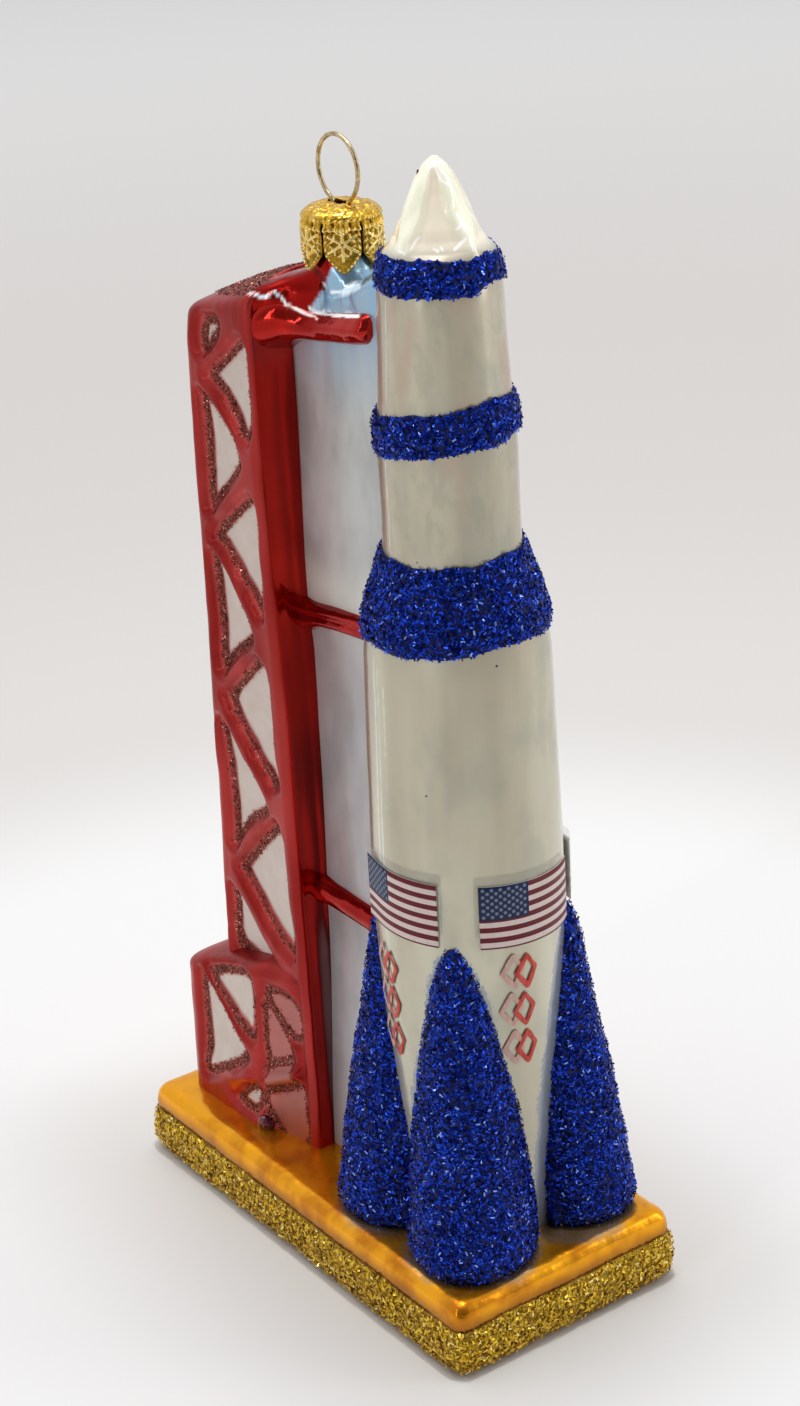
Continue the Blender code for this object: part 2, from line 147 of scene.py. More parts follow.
def addPiece(name, points, faces, material, slot, replaces=(), values=None, uv=None, body="glass"):
    # points in mm, one or more arrays of corner numbers, values as one number per point under a name
    mesh = bpy.data.meshes.new(name)
    points = points.reshape(-1, 3)
    faces = faces if isinstance(faces, list) else [faces]
    corners = np.concatenate([part.ravel() for part in faces]).astype(np.int32)
    totals = np.concatenate([np.full(len(part), part.shape[1]) for part in faces])
    mesh.vertices.add(len(points))
    mesh.vertices.foreach_set("co", (points * mm).astype(np.float32).ravel())
    mesh.loops.add(len(corners))
    mesh.loops.foreach_set("vertex_index", corners)
    mesh.polygons.add(len(totals))
    mesh.polygons.foreach_set("loop_start", (np.cumsum(totals) - totals).astype(np.int32))
    mesh.update(calc_edges=True)
    for key, data in (values or {}).items():
        mesh.attributes.new(key, "FLOAT", "POINT").data.foreach_set("value", data.astype(np.float32).ravel())
    if uv is not None:
        layer = mesh.uv_layers.new(name="faceMap")
        layer.data.foreach_set("uv", uv.astype(np.float32)[corners].ravel())
    mesh.validate()
    mesh.materials.append(material)
    mesh.shade_smooth()
    piece = bpy.data.objects.new(name, mesh)
    scene.collection.objects.link(piece)
    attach(piece, body)
    if replaces:
        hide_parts(*replaces)
    return piece


def addClosed(name, grid, material, slot, replaces=(), values=None, **rest):
    # a grid that goes all the way round, with a fan over each end, turned so that it encloses a positive volume
    rows, cols = grid.shape[:2]
    points = np.concatenate([grid.reshape(-1, 3), grid[:1].mean(1), grid[-1:].mean(1)])
    quads = gridFaces(rows, cols, True)
    k = np.arange(cols)
    n = (k + 1) % cols
    last = (rows - 1) * cols
    low = np.stack([n, k, 0 * k + rows * cols], 1)
    high = np.stack([k + last, n + last, 0 * k + rows * cols + 1], 1)
    a, b, c = points[np.concatenate([quads[:, :3], quads[:, [0, 2, 3]], low, high])].transpose(1, 0, 2)
    faces = [quads, low, high]
    if (a * np.cross(b, c)).sum() < 0:
        faces = [part[:, ::-1] for part in faces]
    full = {}
    for key, data in (values or {}).items():
        data = np.broadcast_to(data, (rows, cols))
        full[key] = np.append(data, [data[0].mean(), data[-1].mean()])
    return addPiece(name, points, faces, material, slot, replaces, full, **rest)


def closeRound(grid):
    # the first column again at the end
    return np.concatenate([grid, grid[:, :1]], 1)


def addFlakes(name, grid, mask, flake, material, seed, slot):
    # spots chosen by area and mask; on each a small rod, turned at random, tilted off the surface and lifted
    rng = np.random.default_rng(seed)
    sheets = grid[:-1, :-1], grid[:-1, 1:], grid[1:, 1:], grid[1:, :-1]
    normal = np.cross(sheets[2] - sheets[0], sheets[3] - sheets[1])
    size = np.linalg.norm(normal, axis=-1)
    weight = (0.125 * size * (mask[:-1, :-1] + mask[:-1, 1:] + mask[1:, 1:] + mask[1:, :-1])).ravel()
    count = int(weight.sum() * flake["perMm2"])
    pick = rng.choice(weight.size, count, p=weight / weight.sum())
    u, v = rng.random((2, count, 1))
    a, b, c, d = (part.reshape(-1, 3)[pick] for part in sheets)
    spot = a * (1 - u) * (1 - v) + b * u * (1 - v) + c * u * v + d * (1 - u) * v
    up = normal.reshape(-1, 3)[pick] / size.ravel()[pick, None]
    side = unit(np.cross(up, rng.normal(size=(count, 3))))
    lean = np.tan(np.radians(flake["tilt"])) * np.abs(rng.normal(0, 0.6, (count, 1)))
    face = unit(up + lean * side)
    way = unit(np.cross(face, rng.normal(size=(count, 3))))
    half = flake["size"] * 0.5 * rng.uniform(0.65, 1.15, (count, 1))
    e, f = half * way, half * flake["thin"] * np.cross(face, way)
    spot = spot + up * (flake["lift"] * rng.random((count, 1)) + 0.04)
    points = np.stack([spot - e - f, spot + e - f, spot + e + f, spot - e + f], 1)
    faces = np.arange(count * 4).reshape(-1, 4)
    addPiece(name, points, faces, material, slot, values={"tone": np.repeat(rng.random(count), 4)})


# shader nodes: p stands for the paint in the making
class Paint:
    # a node tree in the making, with its last node: each method adds a node and gives what comes out of it
    def __init__(self, made, tree, end):
        self.made, self.tree, self.end = made, tree, end

    def feed(self, node, inputs):
        # links what comes out of a node and sets plain values, colours with full cover
        for key, value in inputs.items():
            socket = node.inputs[key]
            if isinstance(value, bpy.types.NodeSocket):
                self.tree.links.new(value, socket)
            else:
                socket.default_value = (*value, 1) if socket.type == "RGBA" else value

    def finish(self, inputs):
        # the last node's inputs, then the material, world or group itself
        self.feed(self.end, inputs)
        return self.made

    def add(self, kind, inputs=None, **settings):
        node = self.tree.nodes.new("ShaderNode" + kind)
        for key, value in settings.items():
            setattr(node, key, value)
        self.feed(node, inputs or {})
        return node.outputs

    def calc(self, operation, a, b=0):
        return self.add("Math", {0: a, 1: b}, operation=operation)[0]

    def vector(self, operation, a, b=(0, 0, 0)):
        return self.add("VectorMath", {0: a, 1: b}, operation=operation)

    def times(self, first, *others):
        # product of all
        for other in others:
            first = self.calc("MULTIPLY", first, other)
        return first

    def remap(self, value, low, high, toLow=0, toHigh=1):
        # eased from toLow at low to toHigh at high
        inputs = {"Value": value, "From Min": low, "From Max": high, "To Min": toLow, "To Max": toHigh}
        return self.add("MapRange", inputs, interpolation_type="SMOOTHSTEP")["Result"]

    def blend(self, share, a, b):
        # from colour a at zero to colour b at one
        return self.add("Mix", {0: share, 6: a, 7: b}, data_type="RGBA")[2]

    def own(self):
        return self.add("TexCoord")["Object"]

    def high(self):
        # height above the table in m
        return self.add("SeparateXYZ", {"Vector": self.own()})["Z"]

    def place(self, tall=1):
        # Object coordinates in mm, those along Z times tall
        return self.add("Mapping", {"Vector": self.own(), "Scale": (1000, 1000, 1000 * tall)})["Vector"]

    def noise(self, scale, detail=2, rough=0.5, tall=1, place=None):
        inputs = {"Vector": place or self.place(tall), "Scale": scale, "Detail": detail, "Roughness": rough}
        return self.add("TexNoise", inputs)["Fac"]

    def value(self, name):
        return self.add("Attribute", attribute_name=name)["Fac"]

    def bump(self, height, strength, distance):
        return self.add("Bump", {"Height": height, "Strength": strength, "Distance": distance})["Normal"]

    def ragged(self, name, grain, soft, tall=1):
        # share of a patch whose named value is how far inside its edge a point lies, in mm
        inputs = {"Inside": self.value(name), "Place": self.place(tall), "Grain": grain, "Soft": soft}
        return self.add("Group", inputs, node_tree=raggedEdge)["Mask"]

    def waver(self, scale, tall=1):
        return self.add("Group", {"Place": self.place(tall), "Scale": scale}, node_tree=glassWaver)["Height"]


def newMaterial(name):
    # a material with the usual shader as its last node
    material = bpy.data.materials.new(name)
    material.use_nodes = True
    return Paint(material, material.node_tree, material.node_tree.nodes["Principled BSDF"])


def newGroup(name, inputs, outputs):
    # an empty group, its sockets given as name and kind: the tree in the making and what comes into it
    tree = bpy.data.node_groups.new(name, "ShaderNodeTree")
    for side, sockets in (("INPUT", inputs), ("OUTPUT", outputs)):
        for key, kind in sockets.items():
            tree.interface.new_socket(name=key, in_out=side, socket_type="NodeSocket" + kind)
    return Paint(tree, tree, tree.nodes.new("NodeGroupOutput")), tree.nodes.new("NodeGroupInput").outputs


# shared effects
def makeSpecks():
    # a few small dark grains: sparse cells of a cell pattern, kept where a cell's own random value is low
    inputs = {"Place": "Vector", "Per mm": "Float", "Share": "Float", "Size": "Float"}
    p, given = newGroup("strayGrains", inputs, {"Mask": "Float"})
    cells = p.add("TexVoronoi", {"Vector": given["Place"], "Scale": given["Per mm"]})
    kept = p.calc("LESS_THAN", p.add("SeparateColor", {"Color": cells["Color"]})["Red"], given["Share"])
    return p.finish({"Mask": p.times(kept, p.calc("LESS_THAN", cells["Distance"], given["Size"]))})


def makeWaver():
    # slow hollows and swells of blown glass, with a finer ripple on top
    p, given = newGroup("glassWaver", {"Place": "Vector", "Scale": "Float"}, {"Height": "Float"})
    slow = p.noise(given["Scale"], 1, place=given["Place"])
    fast = p.noise(p.times(given["Scale"], 5), 1, place=given["Place"])
    return p.finish({"Height": p.calc("ADD", slow, p.times(fast, 0.12))})


def makeGlitter():
    # colour and gloss of one flake from its own random tone: mostly dark, some mid, few bright
    inputs = {"Tone": "Float", "Dark": "Color", "Mid": "Color", "Bright": "Color"}
    p, given = newGroup("flakeTone", inputs, {"Color": "Color", "Roughness": "Float"})
    tone = given["Tone"]
    mid = p.blend(p.remap(tone, 0.15, 0.85), given["Dark"], given["Mid"])
    return p.finish({"Color": p.blend(p.remap(tone, 0.93, 0.97), mid, given["Bright"]),
                     "Roughness": p.remap(p.calc("FRACT", p.times(tone, 7.3)), 0, 1, 0.18, 0.5)})


def makeRagged():
    # share of a painted patch: a distance in mm with grain and drift added, then cut with a soft edge
    inputs = {"Inside": "Float", "Place": "Vector", "Grain": "Float", "Soft": "Float"}
    p, given = newGroup("raggedEdge", inputs, {"Mask": "Float"})
    fine = p.calc("SUBTRACT", p.noise(2.6, 2, place=given["Place"]), 0.5)
    slow = p.calc("SUBTRACT", p.noise(0.5, 1, place=given["Place"]), 0.5)
    edge = p.calc("ADD", given["Inside"], p.times(p.calc("ADD", fine, slow), given["Grain"]))
    return p.finish({"Mask": p.remap(edge, p.times(given["Soft"], -1), given["Soft"])})


strayGrains, glassWaver, flakeTone, raggedEdge = makeSpecks(), makeWaver(), makeGlitter(), makeRagged()


def makeFlake(name, dark, mid, bright):
    # polished foil, each flake with a tone of its own
    p = newMaterial(name)
    tones = {"Tone": p.value("tone"), "Dark": dark, "Mid": mid, "Bright": bright}
    made = p.add("Group", tones, node_tree=flakeTone)
    return p.finish({"Metallic": 1, "Specular IOR Level": 0.6, "Base Color": made["Color"],
                     "Roughness": made["Roughness"]})


def makeBed(name, low, high):
    # glue and grains under the flakes: fine mottled tones with a strong grain
    p = newMaterial(name)
    grain = p.noise(2.2, 2, 0.6)
    colour = p.blend(p.remap(grain, 0.35, 0.7), low, high)
    return p.finish({"Metallic": 0.3, "Roughness": 0.6, "Base Color": colour,
                     "Normal": p.bump(grain, 0.8, 0.0003)})


def makePearl():
    # pearl lacquer over silvered glass: warm beige and grey-green streaks, with bare strips by the fins; painted
    # highlights, painted mottled reflections and a painted glow on the nose
    p = newMaterial("pearlLacquer")
    high, glint = p.high(), p.value("glintIn")
    colour = p.blend(p.remap(p.noise(0.15, 2, 0.45, 0.12), 0.3, 0.7), (0.52, 0.47, 0.345), (0.65, 0.62, 0.475))
    colour = p.blend(p.remap(p.noise(0.11, 3, 0.6, 0.6), 0.46, 0.68, 0, 0.45), colour, (0.41, 0.415, 0.34))
    # painted reflection: dark grey-green mottling on the upper stages
    mottledReflection = p.remap(p.noise(0.3, 3, 0.62, 0.55), 0.47, 0.66, 0, 0.38)
    colour = p.blend(p.times(mottledReflection, p.remap(high, 0.124, 0.132)), colour, (0.37, 0.375, 0.29))
    warm = p.remap(p.noise(0.16, 2, 0.5, 0.5), 0.45, 0.65)
    colour = p.blend(p.times(warm, p.remap(high, 0.128, 0.15, 0, 0.7)), colour, (0.6, 0.44, 0.33))
    # painted highlights: glintIn turns the body pale and the nose white
    colour = p.blend(p.times(glint, 0.65), colour, (0.86, 0.86, 0.8))
    veil = p.remap(p.noise(0.5, 2, 0.5, 0.35), 0.4, 0.66, 0, 0.6)
    cream = p.blend(veil, (0.97, 0.95, 0.8), (0.78, 0.78, 0.64))
    cream = p.blend(p.value("hollowIn"), cream, (0.9, 0.79, 0.68))
    nose = p.remap(high, 0.1725, 0.1745)
    colour = p.blend(nose, colour, p.blend(glint, cream, (1, 1, 0.98)))
    # painted light: the nose glows a little, and its highlights glow brighter
    glow = p.blend(nose, (0, 0, 0), (0.44, 0.44, 0.25))
    flash = p.times(glint, p.remap(nose, 0, 1, 0.12, 1))
    colour = p.blend(p.times(p.ragged("bareIn", 1.9, 0.12, 0.5), 0.8), colour, (0.28, 0.33, 0.4))
    grains = {"Place": p.place(), "Per mm": 0.32, "Share": 0.035, "Size": 0.07}
    specks = p.add("Group", grains, node_tree=strayGrains)["Mask"]
    return p.finish({"Base Color": p.blend(specks, colour, (0.05, 0.05, 0.05)), "Roughness": 0.26,
                     "Metallic": p.times(p.calc("SUBTRACT", 1, nose), 0.45), "Coat Weight": 0.6,
                     "Coat Roughness": 0.06, "Specular IOR Level": 0.55, "Emission Strength": 0.35,
                     "Emission Color": p.blend(flash, glow, (0.9, 0.9, 0.88)),
                     "Normal": p.bump(p.waver(0.16, 0.3), 0.5, 0.0006)})


def makeRed():
    # red lacquer over silvered glass; whiteShare and glueIn carry the painted fields and the glitter lines, the
    # other values painted shade, a grey strip beside the wall and painted highlights
    p = newMaterial("redLacquer")
    white, deep, sleek, glint = (p.value(name) for name in ("whiteShare", "deepShare", "sleekShare", "glintIn"))
    flow = p.remap(p.noise(0.14, 2, 0.5, 0.25), 0.3, 0.7)
    colour = p.blend(sleek, p.blend(flow, (0.3, 0.014, 0.012), (0.45, 0.042, 0.038)),
                     p.blend(flow, (0.34, 0.007, 0.005), (0.53, 0.024, 0.018)))
    rim = p.remap(p.value("glueIn"), -0.7, -0.25, 0, 0.5)
    colour = p.blend(rim, colour, (0.56, 0.1, 0.09))
    # deeper red, then painted shade on the front and at the high arm's root, then the grey-violet strip beside
    # the wall
    for low, high, tone in ((0, 0.25, (0.52, 0.012, 0.006)), (0.25, 1, (0.15, 0.002, 0.0015)),
                            (1, 2, (0.2, 0.095, 0.1))):
        colour = p.blend(p.remap(deep, low, high), colour, tone)
    ground = p.blend(p.noise(0.5, 3), (0.68, 0.56, 0.49), (0.8, 0.71, 0.64))
    colour = p.blend(white, colour, p.blend(p.times(rim, 0.8), ground, (0.62, 0.27, 0.23)))
    glue = p.ragged("glueIn", 0.55, 0.06)
    grain = p.noise(3, 1)
    colour = p.blend(glue, colour, p.blend(p.remap(grain, 0.4, 0.62), (0.15, 0.03, 0.022), (0.42, 0.12, 0.09)))
    paint = p.calc("MAXIMUM", p.calc("MAXIMUM", white, glue), glint)
    height = p.calc("ADD", p.waver(0.2, 0.35), p.times(glue, grain, 1.5))
    # painted highlights: glintIn turns the lacquer pale and makes it glow
    return p.finish({"Base Color": p.blend(glint, colour, (0.95, 0.9, 0.87)), "Emission Strength": 0.45,
                     "Emission Color": p.blend(glint, (0, 0, 0), (0.9, 0.82, 0.78)),
                     "Roughness": p.remap(paint, 0, 1, p.remap(sleek, 0, 1, 0.36, 0.1), 0.55),
                     "Metallic": p.remap(paint, 0, 1, 0.82, 0.1), "Coat Roughness": 0.03,
                     "Coat Weight": p.remap(paint, 0, 1, p.remap(sleek, 0, 1, 0.05, 0.12), 0),
                     "Specular IOR Level": 0.25, "Normal": p.bump(height, 0.6, 0.0005)})


def makeGold():
    # amber lacquer over silvered glass, thicker and browner in streaks and towards the glitter
    p = newMaterial("goldLacquer")
    colour = p.blend(p.remap(p.noise(0.11, 3, 0.6), 0.38, 0.66), (1, 0.43, 0.01), (0.64, 0.21, 0.005))
    colour = p.blend(p.remap(p.high(), 0.0115, 0.0085, 0, 0.75), colour, (0.34, 0.13, 0.02))
    colour = p.blend(p.times(p.ragged("bareIn", 1.6, 0.9), 0.6), colour, (0.42, 0.38, 0.28))
    return p.finish({"Base Color": colour, "Metallic": 0.84, "Roughness": 0.26, "Specular IOR Level": 0.25,
                     "Coat Weight": 0.12, "Coat Roughness": 0.04, "Normal": p.bump(p.waver(0.13), 0.7, 0.0009)})


def makeSilver():
    # silvered glass, a grey to violet film below and blue towards the top, with a painted highlight band at the
    # middle arm and painted highlights; redIn is the lacquer run over it
    p = newMaterial("silverGlass")
    high, glint = p.high(), p.value("glintIn")
    streaks = p.noise(0.25, 3, 0.5, 0.15)
    patches = p.remap(p.noise(0.09, 3, 0.55, 0.5), 0.35, 0.65)
    colour = p.blend(patches, (0.46, 0.475, 0.46), (0.66, 0.68, 0.67))
    # painted highlight: a pale band on the wall along the top of the middle arm
    pale = p.times(p.remap(high, 0.1215, 0.1145), p.remap(high, 0.108, 0.112), 0.8)
    colour = p.blend(pale, colour, (0.8, 0.82, 0.74))
    colour = p.blend(p.times(p.remap(high, 0.112, 0.1), 0.6, streaks), colour, (0.46, 0.4, 0.45))
    tint = p.times(p.remap(high, 0.142, 0.164), p.remap(streaks, 0.2, 0.6, 0.5, 1))
    colour = p.blend(tint, colour, (0.36, 0.6, 0.82))
    red = p.ragged("redIn", 1, 0.35)
    colour = p.blend(red, colour, (0.33, 0.006, 0.004))
    colour = p.blend(p.value("shadeIn"), colour, (0.045, 0.014, 0.009))
    gloss = p.calc("MAXIMUM", p.remap(high, 0.158, 0.163), red)
    metal = p.calc("ADD", p.remap(gloss, 0, 1, 0.28, 0.8), p.times(red, 0.16))
    rough = p.calc("SUBTRACT", p.remap(streaks, 0.3, 0.7, 0.34, 0.46), p.times(gloss, 0.2))
    height = p.times(p.waver(0.15, 0.4), p.remap(gloss, 0, 1, 1, 2.6))
    # painted highlights: glintIn turns the glass white-blue and makes it glow
    return p.finish({"Base Color": p.blend(glint, colour, (0.93, 0.97, 1)), "Emission Strength": 0.4,
                     "Emission Color": p.blend(glint, (0, 0, 0), (0.72, 0.86, 0.92)),
                     "Coat Weight": p.remap(red, 0, 1, 0.25, 0.05), "Coat Roughness": 0.05,
                     "Roughness": rough, "Metallic": metal, "Normal": p.bump(height, 0.5, 0.0006)})


def makeGilt(name, colour, dark, stamped=False):
    # thin gilt metal, lighter on the ridges and darker in the hollows of its own small dents
    p = newMaterial(name)
    dents = p.noise(0.9, 3, 0.6)
    tone = p.blend(p.remap(dents, 0.3, 0.6), dark, colour)
    if stamped:
        # painted shade in the hollows of the stamped pattern and a painted highlight on its raised parts
        tone = p.blend(p.remap(p.value("raised"), 0, -0.3), tone, (0.13, 0.065, 0.005))
        tone = p.blend(p.remap(p.value("raised"), 0.06, 0.17), tone, (1, 0.78, 0.3))
    return p.finish({"Metallic": 1, "Base Color": tone, "Roughness": p.remap(dents, 0.3, 0.7, 0.35, 0.2),
                     "Normal": p.bump(dents, 0.35, 0.0002)})


pearlLacquer, redLacquer, goldLacquer, silverGlass = makePearl(), makeRed(), makeGold(), makeSilver()
giltCap = makeGilt("giltCap", (0.92, 0.56, 0.07), (0.5, 0.27, 0.02), True)
giltWire = makeGilt("giltWire", (0.72, 0.58, 0.34), (0.4, 0.3, 0.15))
blueFlake = makeFlake("blueFlake", (0.003, 0.008, 0.11), (0.018, 0.07, 0.66), (0.22, 0.36, 1))
goldFlake = makeFlake("goldFlake", (0.52, 0.31, 0.02), (0.93, 0.62, 0.07), (1, 0.84, 0.34))
redFlake = makeFlake("redFlake", (0.2, 0.035, 0.026), (0.46, 0.135, 0.1), (0.7, 0.34, 0.27))
blueBed = makeBed("blueBed", (0.002, 0.004, 0.045), (0.008, 0.018, 0.19))
goldBed = makeBed("goldBed", (0.36, 0.21, 0.012), (0.64, 0.42, 0.04))
print("materials made")


# base: a rounded plan carried up a profile, then drawn in over the top to its middle line
base = {"halfX": 22, "halfY": 45.2, "corner": 2.4, "profile": [
    # z, how far inside the full size
    (0, 2.2), (0.2, 1.5), (0.6, 0.9), (1.2, 0.7), (8, 0.7), (8.5, 0.1), (9.6, 0), (10.8, 0.2), (11.6, 0.45),
    (12.2, 0.9), (12.65, 1.5), (12.9, 2.2), (13, 3.2)]}


def sideways(half):
    # half an outline on the +X side, mirrored to a full loop: front middle, +X, back middle, -X
    other = half[-2:0:-1].copy()
    other[:, 0] *= -1
    return np.concatenate([half, other])


def roundedPlan(halfX, halfY, corner, perCorner=14, perX=13, perY=60):
    # closed plan outline, anticlockwise from the middle of the -Y side, points evenly spread on its straights
    t = np.linspace(0, np.pi / 2, perCorner, endpoint=False)
    x, y = halfX - corner, halfY - corner
    front = spots(np.linspace(0, x, perX, endpoint=False), -halfY)
    side = spots(halfX, np.linspace(-y, y, perY, endpoint=False))
    back = spots(np.linspace(x, 0, perX + 1), halfY)
    turn = corner * spots(np.sin(t), np.cos(t))
    return sideways(np.concatenate([front, [x, -y] + turn * [1, -1], side, [x, y] + turn[:, ::-1], back]))


def baseGrid():
    # the plan at each height of the profile, then shares of the way in to the middle line, with soft swells
    profile = np.array(base["profile"])
    places = np.linspace(0, len(profile) - 1, 34)
    rows = []
    for z, inset in zip(*(np.interp(places, np.arange(len(profile)), column) for column in profile.T)):
        plan = roundedPlan(base["halfX"] - inset, base["halfY"] - inset, max(base["corner"] - 0.5 * inset, 0.8))
        rows.append(spots(*plan.T, z))
    edge = rows[-1]
    middle = spots(0, np.clip(edge[:, 1], -26, 26), edge[:, 2])
    grid = np.stack(rows + [edge + (middle - edge) * share for share in np.linspace(0, 1, 20)[1:]])
    sway = softNoise(grid, 9, 3) * 0.16 + softNoise(grid, 20, 4) * 0.2
    grid[..., 2] += sway * ease(8.5, 12.5, grid[..., 2])
    grid[..., 0] *= 1 + 0.006 * softNoise(grid, (30, 14, 6), 5) * ease(2, 9, grid[..., 2])
    return grid


def bareRing(grid):
    # how far inside the thin ring round the feet of the fins and the rocket a point of the top lies, in mm
    near = np.hypot(grid[..., 0], grid[..., 1] - rocketY) - 12.4
    for turn in (-45, 45, 135, -135):
        gap = grid[..., :2] - around(turn, 13.2, 0)[:2]
        near = np.minimum(near, np.hypot(*axes(gap)) - 10.6)
    return 0.5 - near


grid = baseGrid()
addClosed("baseGlass", grid, goldLacquer, "gold_lacquer", ("base_block",), {"bareIn": bareRing(grid)})

baseBand = {"low": 0.9, "high": 8.3, "bulge": 0.75,
            "flake": {"size": 0.66, "thin": 0.5, "perMm2": 7.5, "tilt": 40, "lift": 0.4}}


def baseBandGrid():
    # band round the base: a plan outline pushed out by a half-round height, ragged at both edges
    rows = []
    for share in np.linspace(0, 1, 22):
        out = baseBand["bulge"] * math.sin(math.pi * min(max(share, 0.02), 0.98)) ** 0.45 - 0.25
        plan = roundedPlan(base["halfX"] + out, base["halfY"] + out, base["corner"] + out, 16, 30, 150)
        rows.append(spots(*plan.T, share))
    grid = np.stack(rows)
    ring = grid * [1, 1, 0]
    low = baseBand["low"] + softNoise(ring, 5, 12) * 0.15
    high = baseBand["high"] + softNoise(ring, 7, 8) * 0.35 + softNoise(ring, 1.6, 9) * 0.2
    grid[..., 2] = low + (high - low) * grid[..., 2]
    lump = 0.006 * softNoise(grid, 1.3, 10) + 0.005 * softNoise(grid, 4, 11)
    grid[..., 0] *= 1 + lump
    grid[..., 1] += np.sign(grid[..., 1]) * lump * 22
    return grid


grid = baseBandGrid()
shell = np.concatenate([grid, grid[::-1] * [0.97, 0.97, 1]])
addClosed("baseGlitterBed", shell, goldBed, "gold_glitter", ("base_glitter",))
grid = closeRound(grid)
addFlakes("baseGlitter", grid, np.ones(grid.shape[:2]), baseBand["flake"], goldFlake, 21, "gold_glitter")
print("base made")

# rocket: a profile turned round its axis, with soft facets, fluted towards the tip
rocket = {
    "profile": [
        # z, radius
        (12.7, 12.5), (20, 12.9), (40, 13.7), (60, 14.65), (68, 14.9), (80, 14.9), (95, 14.55), (112, 14.15),
        (117, 13.6), (121, 12.3), (125, 10.9), (128, 10.35), (134, 10.25), (143, 10.3), (147, 10.15),
        (151, 9.75), (159, 9.35), (166.5, 9.1), (170, 8.8), (171.5, 8.5), (173, 8), (174.5, 7.25),
        (176, 6.5), (178, 5.45), (180, 4.5), (182, 3.5), (183.6, 2.6), (184.8, 1.75), (185.5, 0.95),
        (185.85, 0.2)],
    "facets": 9, "facetDepth": 0.05, "hollow": [
        # z, depth of a nose hollow, its half angle
        (172.6, 0, 46), (173.6, 0.6, 46), (175, 0.8, 42), (176.5, 0.6, 35), (178, 0.7, 28), (181, 0.85, 24),
        (183, 0.55, 21), (184.6, 0, 20)],
    "paintedHighlights": [
        # angle, z of a painted highlight's two ends, its half width
        (-100, 76, -99, 113, 0.16), (-95, 78, -94.5, 112, 0.1), (-88, 81, -88.5, 109, 0.05),
        (-99, 130, -98, 143, 0.1), (-97, 152, -95, 166.5, 0.08), (-62, 175.7, -66, 175.2, 0.12),
        (-66, 175.2, -69, 174.2, 0.1), (-83, 173.9, -75, 173.6, 0.1), (-42, 174.3, -37, 174, 0.1),
        (-33, 174.4, -31, 174, 0.1), (-9, 176.6, 4, 177.4, 0.11), (-17, 174, -2, 175.2, 0.16),
        (2, 181.8, -5, 179.6, 0.09), (-3, 178.6, 2, 176.4, 0.12), (4, 175.2, 4, 173.6, 0.16),
        (-9, 184.4, 3, 183.1, 0.13), (3, 183.1, 0, 182.2, 0.15), (-22, 183.2, 0, 182.2, 0.1),
        (-64, 184.6, -9, 185.2, 0.1), (-22, 183.2, -30, 184.6, 0.1)]}

# fins: half cones whose section is part of an ellipse that grows downwards
fins = {
    "shapes": [
        # CAD node, angle at the foot, at the tip, share of the width, bare strip beside it, its top
        ("fin_front_left", -45, -48.4, 1.04, 1.9, 46), ("fin_front_right", 50, 50, 0.88, 3.3, 68),
        ("fin_back_left", -135, -139, 1, 1.5, 68), ("fin_back_right", 135, 135, 1, 1.5, 68)],
    "edge": [
        # z, half angle of a fin where it meets the body
        (12, 42), (13, 42), (17, 40), (30, 36), (40, 31), (50, 24.5), (60, 18), (66, 9), (67.5, 0)],
    "rows": [
        # z, outer radius from the rocket's axis, half width
        (13.2, 22.6, 8.2), (13.7, 24, 9.2), (15, 24.6, 9.6), (20, 23.9, 9.3), (28, 22.8, 8.8), (39, 21, 7.6),
        (50, 19, 5.8), (60, 17.3, 3.9), (65, 16.3, 2.4), (67, 15.7, 1.3), (67.9, 15.2, 0.5)]}
wallHalf = [
    # z, half thickness of the wall
    (11.9, 8.9), (21.5, 8.3), (40.3, 6.9), (51.3, 6.2), (66, 5.8), (76.8, 5.6), (90.8, 5.2), (102.7, 4.7),
    (111.2, 4.9), (127.7, 4.5), (146.9, 4), (166, 3.9)]


def rocketRadius(z):
    # the profile's radius, evened out by a rounded window of 2.2 mm
    fine = np.linspace(12, 186, 1741)
    window = np.hanning(23)
    rough = np.pad(along(rocket["profile"], fine), 11, "edge")
    return np.interp(z, fine, np.convolve(rough, window / window.sum(), "valid"))


def onRocket(angle, z, out=0):
    # point on the body at an angle from -Y towards +X in degrees and a height
    return around(angle, rocketRadius(z) + out, z)


def finAngle(foot, tip, z):
    # angle of a fin's middle line: straight from its foot at 20 mm to its tip at 68 mm
    return foot + (tip - foot) * (z - 20) / 48


